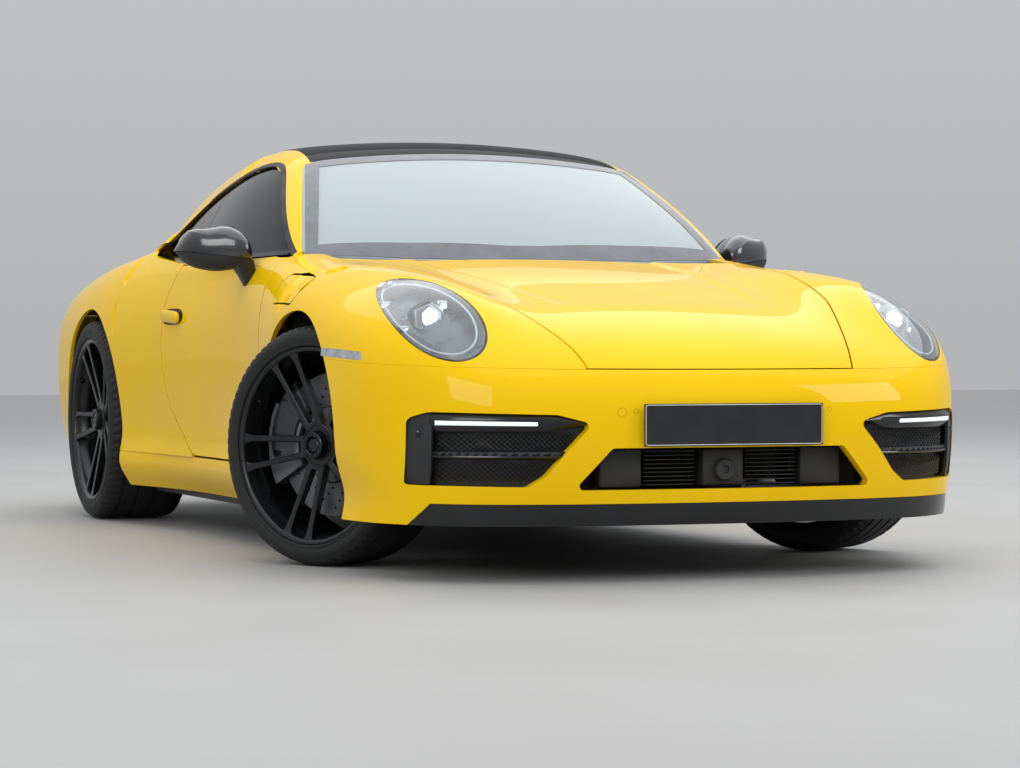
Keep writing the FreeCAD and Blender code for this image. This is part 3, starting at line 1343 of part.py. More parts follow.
def wheel_liners():
    front = wheel_liner(FRONT_AXLE, FRONT_TYRE_RADIUS, FRONT_ARCH_RADIUS + 5, 476)
    front = front.cut(box(480, FAR, FRONT_AXLE + 340, FRONT_AXLE + 500, -100,
        1000).common(beside(door_line, 12)))
    rear = wheel_liner(REAR_AXLE, REAR_TYRE_RADIUS, REAR_ARCH_RADIUS + 12, 520)
    return Part.makeCompound([front, mirrored(front), rear, mirrored(rear)])


def luggage_tub():
    outer = within(-410, 410, -1700, -1000, 240 + SEAT_FIT, 640)
    return outer.cut(within(-402, 402, -1692, -1008, 248 + SEAT_FIT, 800))


# Cabin fittings
DRIVER_X = -370.0
SEAT_WIDTH = 500.0


def dashboard():
    """The dashboard with the steering column, and the console between the seats."""
    dash = prism([
        (along(-780) + SEAT_FIT, 600), (along(-780) + SEAT_FIT, 830, 20), (along(-700), 866, 40),
        (along(-560), 872, 40),
        (along(-440), 820, 40), (along(-430), 690, 40), (along(-500), 600, 20)], SIDE, -640, 640)
    floor = FLOOR_HEIGHT + FLOOR_THICKNESS + SEAT_FIT
    console = prism([
        (along(-520), floor), (along(-520), 650), (along(-440), 650), (along(-380), 560, 30),
        (along(-250), 470, 40),
        (along(240), 440, 30), (along(280), floor)], SIDE, -92, 92)
    centre, way = steering_axis()
    return dash.fuse(console).fuse(rod(centre - way * 180, centre - way * (20 + SEAT_FIT), 34))


def front_seats():
    cushion = prism([
        (along(-190), 300, 40), (along(-190), 425, 40), (along(200), 395, 60), (along(330), 395),
        (along(330), 240),
        (along(-120), 240, 30)], SIDE, DRIVER_X - SEAT_WIDTH / 2, DRIVER_X + SEAT_WIDTH / 2)
    back = prism([
        (along(200), 380), (along(300), 900, 60), (along(330), 1120, 30), (along(400), 1120, 30),
        (along(400), 880, 60),
        (along(345), 380)], SIDE, DRIVER_X - SEAT_WIDTH / 2, DRIVER_X + SEAT_WIDTH / 2)
    taper = prism([
        (DRIVER_X - 250, 200), (DRIVER_X - 250, 780, 80), (DRIVER_X - 130, 960, 80),
        (DRIVER_X - 120, 1130, 40),
        (DRIVER_X + 120, 1130, 40), (DRIVER_X + 130, 960, 80), (DRIVER_X + 250, 780, 80),
        (DRIVER_X + 250, 200)],
        FRONT, along(-400), along(500))
    rails = within(DRIVER_X - 200, DRIVER_X + 200, -150, 300, FLOOR_HEIGHT + FLOOR_THICKNESS + SEAT_FIT, 246)
    return pair(cushion.fuse(back).common(taper).fuse(rails))


def rear_seats():
    cushion = prism([
        (along(430), 300), (along(430), 480, 40), (along(590), 440, 20), (along(590), 300)], SIDE, -600, -110)
    back = prism([
        (along(540), 441), (along(565), 800, 30), (along(599), 800), (along(599), 300), (along(540), 300)],
        SIDE, -600, -110)
    legs = within(-560, -150, 450, 580, FLOOR_HEIGHT + FLOOR_THICKNESS + SEAT_FIT, 301)
    return pair(cushion.fuse(back).fuse(legs))


STEERING_CENTRE_Y = -300.0
STEERING_CENTRE_Z = 790.0
STEERING_TILT = 24.0
STEERING_RADIUS = 182.0


def steering_axis():
    """The steering wheel's centre, and the direction from it towards the driver."""
    a = math.radians(STEERING_TILT)
    return Vector(DRIVER_X, along(STEERING_CENTRE_Y), STEERING_CENTRE_Z), Vector(0, math.cos(a), math.sin(a))


def steering_wheel():
    ring = turned([(STEERING_RADIUS - 24, -12), (STEERING_RADIUS, -12), (STEERING_RADIUS, 12),
        (STEERING_RADIUS - 24, 12)],
                  Vector(0, 0, 0), AXLE_WAY)
    hub = rod(Vector(-20, 0, 0), Vector(12, 0, 0), 62)
    for angle in (0, 180, 270):
        bar = box(-6, 6, 40, STEERING_RADIUS - 10, -16, 16)
        bar.rotate(Vector(0, 0, 0), AXLE_WAY, angle)
        hub = hub.fuse(bar)
    wheel = ring.fuse(hub)
    wheel.rotate(Vector(0, 0, 0), Vector(0, 0, 1), 90)
    wheel.rotate(Vector(0, 0, 0), Vector(1, 0, 0), STEERING_TILT)
    wheel.translate(steering_axis()[0])
    return wheel


# Engine and exhaust
def engine():
    block = within(-330, 330, 1420, 1930, 271, 620)
    gearbox = within(-160, 160, 630, 1430, 271, 470)
    mounts = within(-470, 470, 1600, 1660, 270.3, 300)
    return block.fuse(gearbox).fuse(mounts)


def exhaust():
    silencer = prism([(along(1945), 290, 40), (along(2049), 290, 40), (along(2049), 430, 40),
        (along(1945), 430, 40)],
                     SIDE, -395, 395)
    for x in (-230, -125, 125, 230):
        start = Vector(x, along(2040), 330)
        silencer = silencer.fuse(rod(start, Vector(x, TAIL - 30, 330), 46))
        silencer = silencer.cut(rod(Vector(x, along(2100), 330), Vector(x, TAIL, 330), 42))
    return silencer


def cabin_sheet(line, places, half_angle, count, thickness):
    angle_low = lambda kind, value: -half_angle
    angle_high = lambda kind, value: half_angle
    rays = rays_over(1, [("along", y) for y in places], angle_low, angle_high, count)
    return skin_block(cabin, rays, thickness).common(above(line, -FIXED))


def windscreen():
    return cabin_sheet(screen_line, (-900, -850, -790, -720, -640, -550, -460, -370, -300, -240), 62, 29,
        GLASS)


def roof_panel():
    return cabin_sheet(roof_line, (-340, -260, -160, -60, 60, 200, 330, 500, 700, 900, 1060), 38, 21, SKIN)


def rear_window():
    ys = (940, 1040, 1150, 1260, 1370, 1480, 1600)
    return from_above(cabin, rear_screen_line, spread(-560, 560, 11), ys, GLASS, -FIXED)


def door_glass():
    return glass_sheet(0.0, DOOR_GLASS_PLACES).common(door_glass_space(0.0))


def quarter_glass():
    space = beside(window_line, -FIXED_SEAM).common(within(0, FAR, WINDOW_SPLIT + 3, 1200,
        BELT_HEIGHT + 6.4, 1600))
    return pair(glass_sheet(0.0, QUARTER_GLASS_PLACES).common(space))


def front_wings():
    return Part.makeCompound([front_wing(1, False), front_wing(-1, True)])


def number_plates():
    return Part.makeCompound([front_plate(), rear_plate()])


PIECES = (
    ("front_lid", front_lid), ("cowl", cowl), ("front_bumper", front_bumper), ("front_lip", front_lip),
    ("front_wings", front_wings), ("roof_rails", lambda: pair(rail())),
    ("rear_wings", lambda: pair(quarter())),
    ("rear_bumper", rear_bumper), ("roof_panel", roof_panel), ("windscreen", windscreen),
    ("rear_window", rear_window), ("quarter_windows", quarter_glass), ("tail_lamp", tail_lamp),
    ("engine_lid", engine_lid), ("engine_lid_grille", lid_grille), ("rear_spoiler", spoiler),
    ("fuel_flap", fuel_flap), ("door_left", lambda: left_door), ("door_right", lambda: mirrored(left_door)),
    ("door_glass_left", door_glass), ("door_glass_right", lambda: mirrored(door_glass())),
    ("mirror_left", mirror), ("mirror_right", lambda: mirrored(mirror())),
    ("headlamp_lenses", headlamp_lens), ("headlamp_units", headlamp_unit), ("side_lamps", side_lamp),
    ("front_grilles", front_grille), ("daytime_lamps", daytime_lamp), ("number_plates", number_plates),
    ("chassis", chassis), ("side_sills", side_sill), ("wheel_liners", wheel_liners),
    ("luggage_tub", luggage_tub),
    ("front_suspension", front_suspension), ("rear_suspension", rear_suspension), ("dashboard", dashboard),
    ("front_seats", front_seats), ("rear_seats", rear_seats), ("steering_wheel", steering_wheel),
    ("engine", engine), ("exhaust", exhaust))


def main():
    os.makedirs("parts", exist_ok=True)
    for name, make in PIECES:
        save(name, make())
    for name, side, is_front in wheel_set():
        save_wheel(name, side, is_front)


main()
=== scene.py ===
import json
import math

import bmesh
import bpy
import numpy as np
from mathutils import Matrix, Vector


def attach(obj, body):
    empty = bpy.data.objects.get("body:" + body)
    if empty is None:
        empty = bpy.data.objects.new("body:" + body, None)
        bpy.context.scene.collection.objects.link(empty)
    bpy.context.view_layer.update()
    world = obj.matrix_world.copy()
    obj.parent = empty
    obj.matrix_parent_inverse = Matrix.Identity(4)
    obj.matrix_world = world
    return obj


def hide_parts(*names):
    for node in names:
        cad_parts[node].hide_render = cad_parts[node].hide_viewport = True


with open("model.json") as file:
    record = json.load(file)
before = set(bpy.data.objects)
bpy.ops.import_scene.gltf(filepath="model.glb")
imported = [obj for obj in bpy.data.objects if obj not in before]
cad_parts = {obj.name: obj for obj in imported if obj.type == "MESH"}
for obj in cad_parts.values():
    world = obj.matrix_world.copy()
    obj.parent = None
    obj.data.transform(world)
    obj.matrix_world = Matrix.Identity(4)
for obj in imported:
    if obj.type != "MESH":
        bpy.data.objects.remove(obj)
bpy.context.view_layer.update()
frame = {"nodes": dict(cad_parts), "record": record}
bpy.ops.object.select_all(action="DESELECT")

# One millimetre in the scene's unit, and the car's two sides with the sign of their X
MM = 0.001
SIDES = (("left", 1), ("right", -1))

# The car's body form, the same as in the part's source, in millimetres. The form is drawn with its
# middle at zero, and the car lies this far behind that place
SHIFT = 4.5
NOSE = -2266.5
TAIL = 2266.5
# Heights at which the side has its full lean above and below its widest line, and the belt's height
FULL_UPPER_LEAN = 900
FULL_LOWER_LEAN = 200
BELT = 930
# How far the nose and the tail lie back at this distance from the centre line, in two parts that grow
# with the second and the sixth power of the distance
SWEEP_WIDTH = 900
NOSE_SWEEP = (130, 280)
TAIL_SWEEP = (120, 230)
# Rounding between the faces of the body and of the cabin
BODY_ROUNDING = 45
CABIN_ROUNDING = 30
# Distance over which the slope of a form is measured
SLOPE_STEP = 2.0


class Curve:
    """A natural cubic spline through (place, value) knots, straight beyond its ends."""

    def __init__(self, *knots):
        t = np.array([k[0] for k in knots], float)
        v = np.array([k[1] for k in knots], float)
        n = len(t)
        h = np.diff(t)
        system = np.eye(n)
        right = np.zeros(n)
        for i in range(1, n - 1):
            system[i, i - 1:i + 2] = h[i - 1], 2 * (h[i - 1] + h[i]), h[i]
            right[i] = 6 * ((v[i + 1] - v[i]) / h[i] - (v[i] - v[i - 1]) / h[i - 1])
        m = np.linalg.solve(system, right)
        self.t, self.v, self.m, self.h = t, v, m, h
        self.first_slope = (v[1] - v[0]) / h[0] - h[0] * m[1] / 6
        self.last_slope = (v[-1] - v[-2]) / h[-1] + h[-1] * m[-2] / 6

    def __call__(self, x):
        x = np.asarray(x, float)
        t, v, h, m = self.t, self.v, self.h, self.m
        i = np.clip(np.searchsorted(t, x) - 1, 0, len(h) - 1)
        a = (t[i + 1] - x) / h[i]
        b = 1 - a
        inside = a * v[i] + b * v[i + 1] + ((a ** 3 - a) * m[i] + (b ** 3 - b) * m[i + 1]) * h[i] ** 2 / 6
        before = v[0] + (x - t[0]) * self.first_slope
        after = v[-1] + (x - t[-1]) * self.last_slope
        return np.where(x < t[0], before, np.where(x > t[-1], after, inside))


# Height of the centre line, fall of the bonnet, and the ridge along the wings
centre_height = Curve(
    (-2300, 563), (-2150, 636), (-2000, 691), (-1750, 752), (-1500, 800), (-1281, 836), (-1000, 873),
    (-750, 903), (-500, 920), (0, 928), (600, 928), (900, 913), (1169, 895), (1400, 872), (1700, 836),
    (1900, 810), (2100, 783), (2300, 753))
bonnet_fall = Curve((-2300, 30), (-1000, 30), (-500, 0), (2300, 0))
wing_rise = Curve(
    (-2300, -20), (-2080, 5), (-1950, 52), (-1850, 74), (-1700, 80), (-1500, 68), (-1281, 50),
    (-1000, 26), (-700, 14), (-400, 0), (600, 0), (1169, 6), (1500, 6), (2000, 0), (2300, 0))
wing_ridge = Curve(
    (-2100, 640), (-1800, 668), (-1281, 695), (-900, 720), (-500, 745), (0, 760), (400, 770), (800, 790),
    (1169, 800), (1500, 790), (1900, 740), (2200, 700))
# Half width at the widest line, that line's height, and how the side leans from it
half_width = Curve(
    (-2200, 880), (-1900, 897), (-1600, 904), (-1281, 912), (-1000, 893), (-800, 868), (-500, 846),
    (-100, 838), (200, 842), (500, 862), (800, 898), (1000, 916), (1169, 920), (1400, 914), (1700, 892),
    (2000, 855), (2250, 800))
widest_height = Curve((-2200, 550), (-1281, 560), (-800, 610), (300, 610), (1169, 590), (2250, 590))
upper_lean = Curve((-2200, 50), (-1281, 62), (-800, 70), (300, 75), (1169, 78), (2250, 90))
lower_lean = Curve((-2200, 25), (-1281, 20), (-900, 50), (-500, 60), (400, 60), (800, 40), (1169, 20),
    (2250, 60))
sill_bulge = Curve((-2200, 0), (-1100, 0), (-850, 30), (-500, 42), (500, 42), (850, 30), (1100, 0), (2250, 0))
nose_set_back = Curve((87, 60), (187, 26), (287, 8), (407, 0), (487, 3), (547, 13), (607, 38), (667, 85),
    (747, 200))
tail_set_back = Curve(
    (138, 170), (238, 95), (338, 45), (438, 12), (548, 0), (628, 8), (688, 36), (748, 85), (808, 160),
    (888, 300))
cabin_height = Curve(
    (-1100, 590), (-845, 869), (-700, 1001), (-550, 1106), (-400, 1191), (-250, 1260), (-100, 1293),
    (60, 1305), (220, 1307), (380, 1297), (550, 1277), (720, 1245), (900, 1200), (1100, 1127),
    (1300, 1047), (1500, 966), (1700, 893), (1900, 833), (2100, 783), (2300, 743))
cabin_half_width = Curve(
    (-1100, 706), (-700, 734), (-400, 760), (0, 776), (400, 750), (800, 715), (1100, 665), (1500, 600),
    (1900, 540), (2300, 500))


def blend_outside(radius, *values):
    """The largest of several distances, with a rounding where two are equal."""
    top = np.maximum.reduce(values)
    return top + radius * np.log(sum(np.exp((v - top) / radius) for v in values))


def ramp(start, end, x):
    """Rises smoothly from 0 at the start to 1 at the end."""
    t = np.clip((x - start) / (end - start), 0, 1)
    return t * t * t * (t * (6 * t - 15) + 10)


def side_at(y, z):
    """Half width of the lower body."""
    widest = widest_height(y)
    above = np.maximum(0, (z - widest) / (FULL_UPPER_LEAN - widest))
    below = np.maximum(0, (widest - z) / (widest - FULL_LOWER_LEAN))
    bulge = sill_bulge(y) * np.exp(-((z - 215) / 75) ** 2)
    return half_width(y) - upper_lean(y) * above ** 2.5 - lower_lean(y) * below ** 2 + bulge


def top_at(x, y):
    """Height of the lower body."""
    ridge = wing_rise(y) * np.exp(-((np.abs(x) - wing_ridge(y)) / 175) ** 2)
    return centre_height(y) - bonnet_fall(y) * (x / 700) ** 2 + ridge


def swept(x, sweep):
    """How far the nose or the tail lies back at a distance from the centre line."""
    share = (x / SWEEP_WIDTH) ** 2
    return sweep[0] * share + sweep[1] * share ** 3


def over_height(height, x, y, z):
    """Distance above a surface that is given by its height, measured square to it."""
    slope = (height(x, y + SLOPE_STEP) - height(x, y - SLOPE_STEP)) / (2 * SLOPE_STEP)
    return (z - height(x, y)) / np.hypot(1, slope)


def lower_body(x, y, z):
    """Distance outside the body below its belt, negative inside."""
    over_side = np.abs(x) - side_at(y, z)
    nose = NOSE + swept(x, NOSE_SWEEP) + nose_set_back(z)
    over_nose = (nose - y) * np.minimum(1.0, SWEEP_WIDTH / np.hypot(SWEEP_WIDTH, x))
    tail = TAIL - swept(x, TAIL_SWEEP) - tail_set_back(z)
    return blend_outside(BODY_ROUNDING, over_height(top_at, x, y, z), over_side, over_nose, y - tail)


def cabin_top(x, y):
    """Height of the roof and the screens, which bow backwards towards the sides behind the roof's middle."""
    bow = 0.25 * ramp(-100, 500, y)
    return cabin_height(200 + (y - 200) * (1 + bow * (x / 640) ** 2)) - 31 * (x / 500) ** 2


def cabin(x, y, z):
    """Distance outside the cabin's roof, screens and side windows, negative inside."""
    rise = np.maximum(z - BELT, -60.0)
    over_side = 0.9 * (np.abs(x) - cabin_half_width(y) + 0.41 * rise + 0.00063 * rise * np.abs(rise))
    return blend_outside(CABIN_ROUNDING, over_height(cabin_top, x, y, z), over_side)


def whole_body(x, y, z):
    """Distance outside the body and the cabin together, with a fillet that widens towards the rear."""
    fillet = 8 + 34 * ramp(-300, 600, y)
    return -blend_outside(fillet, -lower_body(x, y, z), -cabin(x, y, z))


def measure(form, places):
    """How far places (metres) lie outside a form, in millimetres, and the form's outward directions."""
    p = places * 1000.0
    x, y, z = p[:, 0], p[:, 1] - SHIFT, p[:, 2]
    step = 1.0
    slopes = np.stack([
        form(x + step, y, z) - form(x - step, y, z), form(x, y + step, z) - form(x, y - step, z),
        form(x, y, z + step) - form(x, y, z - step)], 1) / (2 * step)
    length = np.linalg.norm(slopes, axis=1)
    length[length < 1e-6] = 1.0
    return form(x, y, z) / length, slopes / length[:, None]


def drawn_onto(form, places, depth):
    """Moves places onto the surface that lies a depth (mm) inside a form."""
    p = places.copy()
    for _ in range(4):
        distance, outward = measure(form, p)
        p -= outward * ((distance + depth) / 1000.0)[:, None]
    return p


def linked(name, data):
    """A new object of the scene."""
    made = bpy.data.objects.new(name, data)
    bpy.context.scene.collection.objects.link(made)
    return made


def ridden(made, body, replaced):
    """Gives a piece its body and the CAD nodes that it stands for."""
    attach(made, body)
    if replaced:
        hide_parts(*replaced)
    return made


def read_mesh(items, name, wide=3, kind=float):
    """The values that a mesh's vertices, loops or faces hold under a name, one row for each."""
    values = np.zeros(len(items) * wide, kind)
    items.foreach_get(name, values)
    return values.reshape(-1, wide)


def vertex_places(vertices):
    return np.array([v.co[:] for v in vertices])


# A panel's faces are split until no edge is longer than this, in metres; the bonnet's are finer
LONGEST_EDGE = 0.030
LONGEST_BONNET_EDGE = 0.013
SPLIT_ROUNDS = 7
# A place this near to a form, in millimetres, counts as lying on it
ON_SURFACE = 2.2
# Places that a split has added are looked for this far from the form
ADDED_REACH = 6.0
# Vertices nearer to each other than this, in metres, are made one
SAME_PLACE = 2e-5


def levels_at(distance, depths):
    """Which of the depths each place lies on, counted from 1, and 0 for none."""
    level = np.zeros(len(distance), int)
    for i, depth in enumerate(depths):
        level[np.abs(distance + depth) < ON_SURFACE] = i + 1
    return level


def drawn_on(vertices, form, depths, reach=ON_SURFACE):
    """Moves the vertices that are near one of the depths under a form exactly onto it."""
    places = vertex_places(vertices)
    distance, _ = measure(form, places)
    off = np.abs(distance[:, None] + np.array(depths, float)[None, :])
    nearest = off.argmin(axis=1)
    for i, depth in enumerate(depths):
        near = (nearest == i) & (off[:, i] < reach)
        if near.any():
            onto = drawn_onto(form, places[near], depth)
            for index, place in zip(np.flatnonzero(near), onto):
                vertices[index].co = place


# The bonnet's middle lies a little lower than its sides, between two creases this far from the centre line
CREASE_PLACE = Curve((-1833, 292), (-1612, 338), (-1450, 352), (-1234, 382), (-850, 392))
CREASE_WIDTH = 34.0
HOLLOW_DEPTH = 4.6


def hollow(x, y):
    """How far the bonnet's middle is pressed in, in millimetres."""
    crease = CREASE_PLACE(y)
    across = 1 - ramp(crease - CREASE_WIDTH / 2, crease + CREASE_WIDTH / 2, np.abs(x))
    return HOLLOW_DEPTH * across * ramp(-1930, -1640, y)


def hollowed_body(x, y, z):
    """Distance outside the body with the bonnet's hollow in it."""
    return lower_body(x, y, z) + hollow(x, y)


def press_in(work, form):
    """Moves the places on a form in by the depth of the bonnet's hollow."""
    places = vertex_places(work.verts)
    distance, outward = measure(form, places)
    depth = hollow(places[:, 0] * 1000.0, places[:, 1] * 1000.0 - SHIFT)
    for vertex, off, away, by in zip(work.verts, distance, outward, depth):
        if abs(off) < ON_SURFACE:
            vertex.co -= Vector(away) * (by / 1000.0)


# The headlamps sit a little further in than their CAD cut: what lies round them slides along the form
LAMP_CUT_X = 728.0
LAMP_Z = 690.0
LAMP_HALF_WIDTH = 105.0
LAMP_HALF_HEIGHT = 113.0
LAMP_SLIDE = 24.0
SLID_PANELS = ("front_lid", "front_wings", "front_bumper", "headlamp_lenses", "side_lamps")
# A slide below this is left out, and the nose is taken as at least this steep when a place is drawn onto it
SMALLEST_SLIDE = 0.01
LEAST_SLOPE = 0.15


def slide_at(x, y, z):
    """How far a place slides in: the full way round the lamp, fading over the panels outside it."""
    across = (np.abs(x) - LAMP_CUT_X) / LAMP_HALF_WIDTH
    away = np.hypot(across, (z - LAMP_Z) / LAMP_HALF_HEIGHT)
    end = 1.4 + 0.6 * ramp(-1, 1, -across)
    return LAMP_SLIDE * (1 - ramp(1.03, end, away)) * (1 - ramp(-1560, -1420, y))


def slide_lamps(vertices):
    """Moves the vertices round the headlamps inwards, at the depth under the form that they have."""
    places = vertex_places(vertices) * 1000.0
    x, y, z = places[:, 0], places[:, 1] - SHIFT, places[:, 2]
    slide = slide_at(x, y, z)
    keep = lower_body(x, y, z)
    new_x = x - np.sign(x) * slide
    new_y = y.copy()
    for _ in range(8):
        off = lower_body(new_x, new_y, z) - keep
        slope = (lower_body(new_x, new_y + 1, z) - lower_body(new_x, new_y - 1, z)) / 2
        new_y -= off / np.minimum(slope, -LEAST_SLOPE)
    for vertex, by, ahead, across in zip(vertices, slide, new_y, new_x):
        if by > SMALLEST_SLIDE:
            vertex.co = Vector((across, ahead + SHIFT, vertex.co.z * 1000.0)) / 1000.0


def smooth_panel(node, body, form, depths, longest=LONGEST_EDGE):
    """A fine, smooth copy of a CAD panel: its faces on the body form follow the form and its slopes."""
    cad = frame["nodes"][node]
    work = bmesh.new()
    work.from_mesh(cad.data)
    bmesh.ops.remove_doubles(work, verts=work.verts, dist=SAME_PLACE)
    drawn_on(work.verts[:], form, depths)
    for _ in range(SPLIT_ROUNDS):
        work.verts.ensure_lookup_table()
        distance, _ = measure(form, vertex_places(work.verts))
        level = levels_at(distance, depths)
        long_edges = []
        for edge in work.edges:
            a, b = edge.verts
            same = level[a.index] == level[b.index] and level[a.index] > 0
            if same and edge.calc_length() > longest and smooth_edge(edge, level):
                long_edges.append(edge)
        if not long_edges:
            break
        before = set(work.verts)
        bmesh.ops.subdivide_edges(work, edges=long_edges, cuts=1, use_grid_fill=False)
        bmesh.ops.triangulate(work, faces=[f for f in work.faces if len(f.verts) > 3])
        added = [v for v in work.verts if v not in before]
        work.verts.index_update()
        drawn_on(added, form, depths, ADDED_REACH)
    if node in SLID_PANELS:
        slide_lamps(work.verts[:])
    if node == "front_lid":
        press_in(work, form)
        form = hollowed_body
    mesh = bpy.data.meshes.new(node + "_fine")
    work.normal_update()
    work.to_mesh(mesh)
    work.free()
    shade_from_form(mesh, form, depths)
    return ridden(linked(node + "_panel", mesh), body, [node])


def smooth_edge(edge, level):
    """True where at least one face beside the edge lies on the form."""
    for face in edge.link_faces:
        levels = {level[v.index] for v in face.verts}
        if len(levels) == 1 and 0 not in levels:
            return True
    return False


def shade_from_form(mesh, form, depths):
    """Gives the faces on the form the form's own slopes, and every other face its flat one."""
    distance, outward = measure(form, read_mesh(mesh.vertices, "co"))
    level = levels_at(distance, depths)
    corners = read_mesh(mesh.loops, "vertex_index", 1, int).reshape(-1, 3)
    flat = read_mesh(mesh.polygons, "normal")
    on = (level[corners[:, 0]] > 0) & (level[corners[:, 0]] == level[corners[:, 1]])
    on &= level[corners[:, 0]] == level[corners[:, 2]]
    slopes = outward[corners]
    signs = np.where(level[corners] == 1, 1.0, -1.0)
    facing = np.einsum("fij,fj->fi", slopes, flat) * signs
    on &= (facing > -0.3).all(axis=1)
    normals = np.where(on[:, None, None], slopes * signs[:, :, None], flat[:, None, :])
    mesh.polygons.foreach_set("use_smooth", np.ones(len(mesh.polygons), bool))
    mesh.normals_split_custom_set(normals.reshape(-1, 3).tolist())


cad_slots = {s["node"]: s["material_slot"] for s in frame["record"]["subparts"]}

# Panel, the body it rides on, the form it follows and the depths (mm) of its faces under the form
PANELS = (
    ("front_lid", "front_lid", lower_body, (0,)),
    ("front_wings", "body", lower_body, (0,)),
    ("front_bumper", "body", lower_body, (0,)),
    ("front_lip", "body", lower_body, (0,)),
    ("side_sills", "body", lower_body, (0,)),
    ("rear_bumper", "body", lower_body, (0,)),
    ("tail_lamp", "body", lower_body, (0,)),
    ("headlamp_lenses", "body", lower_body, (0.5, 5)),
    ("side_lamps", "body", lower_body, (0.5,)),
    ("fuel_flap", "fuel_flap", lower_body, (0,)),
    ("rear_wings", "body", whole_body, (0,)),
    ("door_left", "door_left", whole_body, (0,)),
    ("door_right", "door_right", whole_body, (0,)),
    ("engine_lid", "engine_lid", whole_body, (0,)),
    ("engine_lid_grille", "engine_lid", whole_body, (0,)),
    ("rear_spoiler", "rear_spoiler", whole_body, (0,)),
    ("roof_rails", "body", cabin, (0,)),
    ("roof_panel", "body", cabin, (0,)),
    ("windscreen", "body", cabin, (0, 5)),
    ("rear_window", "body", cabin, (0, 5)),
    ("quarter_windows", "body", cabin, (8, 13)),
    ("door_glass_left", "door_left", cabin, (8, 13)),
    ("door_glass_right", "door_right", cabin, (8, 13)),
)
panels = {}
for node, body, form, depths in PANELS:
    longest = LONGEST_BONNET_EDGE if node == "front_lid" else LONGEST_EDGE
    panels[node] = smooth_panel(node, body, form, depths, longest)


# Materials. A colour changes over the middle of the noise's range, a gloss over a wider part of it
TINT_RANGE = (0.35, 0.65)
GLOSS_RANGE = (0.3, 0.7)


def linear(code):
    """A colour written as sRGB hex, as linear red, green, blue and alpha."""
    parts = [int(code[i:i + 2], 16) / 255 for i in (1, 3, 5)]
    return [c / 12.92 if c <= 0.04045 else ((c + 0.055) / 1.055) ** 2.4 for c in parts] + [1.0]


def add(tree, kind, links=(), inputs=(), **settings):
    """Adds a node: its settings, its input values, and links into its inputs from other nodes' outputs."""
    made = tree.nodes.new(kind)
    for key, value in settings.items():
        setattr(made, key, value)
    for key, value in dict(inputs).items():
        made.inputs[key].default_value = value
    for key, (source, output) in dict(links).items():
        tree.links.new(source.outputs[output], made.inputs[key])
    return made


def new_material(name):
    made = bpy.data.materials.new(name)
    made.use_nodes = True
    made.node_tree.nodes.clear()
    return made, made.node_tree


def finish_surface(tree, shader, output="BSDF"):
    add(tree, "ShaderNodeOutputMaterial", {"Surface": (shader, output)})


def place_noise(tree, size_mm, detail=2.0, rough=0.5):
    """Noise whose lumps are about size_mm across, in the piece's own place."""
    where = add(tree, "ShaderNodeTexCoord")
    return add(tree, "ShaderNodeTexNoise", {"Vector": (where, "Object")},
               {"Scale": 1000.0 / size_mm, "Detail": detail, "Roughness": rough})


def ramp_between(tree, source, output, ends, colors):
    """Two colours, and all between them, over a part of a value's range."""
    made = add(tree, "ShaderNodeValToRGB", {"Fac": (source, output)})
    for element, position, color in zip(made.color_ramp.elements, ends, colors):
        element.position = position
        element.color = color
    return made


def gloss_between(tree, noise, roughness):
    """Rough and smooth patches between two roughness values."""
    return ramp_between(tree, noise, "Fac", GLOSS_RANGE, [[v, v, v, 1.0] for v in roughness])


def surface(name, colors, roughness, bump=None, metallic=0.0, mottle_mm=60.0, **sockets):
    """A shader with two close colours in soft patches, rough and smooth patches, and a fine bump.

    bump is (size in mm, height in mm, strength); sockets are the shader's own values.
    """
    made, tree = new_material(name)
    patches = place_noise(tree, mottle_mm)
    tint = ramp_between(tree, patches, "Fac", TINT_RANGE, [linear(c) for c in colors])
    gloss = gloss_between(tree, patches, roughness)
    links = {"Base Color": (tint, "Color"), "Roughness": (gloss, "Color")}
    if bump:
        grain = place_noise(tree, bump[0], 3.0, 0.6)
        relief = add(tree, "ShaderNodeBump", {"Height": (grain, "Fac")},
                     {"Distance": bump[1] / 1000.0, "Strength": bump[2]})
        links["Normal"] = (relief, "Normal")
    values = {key.replace("_", " "): value for key, value in sockets.items()}
    values["Metallic"] = metallic
    shader = add(tree, "ShaderNodeBsdfPrincipled", links, values)
    finish_surface(tree, shader)
    return made


def clear_glass(name, tint, roughness, painted_reflection_share=0.0, ior=1.45):
    """Glass that bends and mirrors light, and lets the light of the lamps through to what is behind it.

    The fourth value is the share of a pale diffuse layer: a painted reflection of the bright sky, spread
    evenly over the glass.
    """
    made, tree = new_material(name)
    smears = place_noise(tree, 90.0)
    gloss = gloss_between(tree, smears, roughness)
    shader = add(tree, "ShaderNodeBsdfPrincipled", {"Roughness": (gloss, "Color")},
                 {"Base Color": linear(tint), "Transmission Weight": 1.0, "IOR": ior})
    # A pale diffuse layer, mixed in as a painted reflection of the sky
    painted_sky_reflection = add(tree, "ShaderNodeBsdfDiffuse", inputs={"Color": linear("#DDE8F0")})
    shader = add(tree, "ShaderNodeMixShader", {1: (shader, "BSDF"), 2: (painted_sky_reflection, "BSDF")}, {0: painted_reflection_share})
    clear = add(tree, "ShaderNodeBsdfTransparent", inputs={"Color": linear(tint)})
    path = add(tree, "ShaderNodeLightPath")
    mixed = add(tree, "ShaderNodeMixShader",
                {0: (path, "Is Shadow Ray"), 1: (shader, "Shader"), 2: (clear, "BSDF")})
    finish_surface(tree, mixed, "Shader")
    return made


# Two-layer car paint: a yellow base coat under clear lacquer, which gives it a wet mirror over a soft colour
yellow_paint = surface("yellow lacquered paint", ("#F2C404", "#EFC002"), (0.4, 0.46), mottle_mm=400.0,
                       Coat_Weight=0.75, Coat_Roughness=0.02, Coat_IOR=1.3, Specular_IOR_Level=0.0)
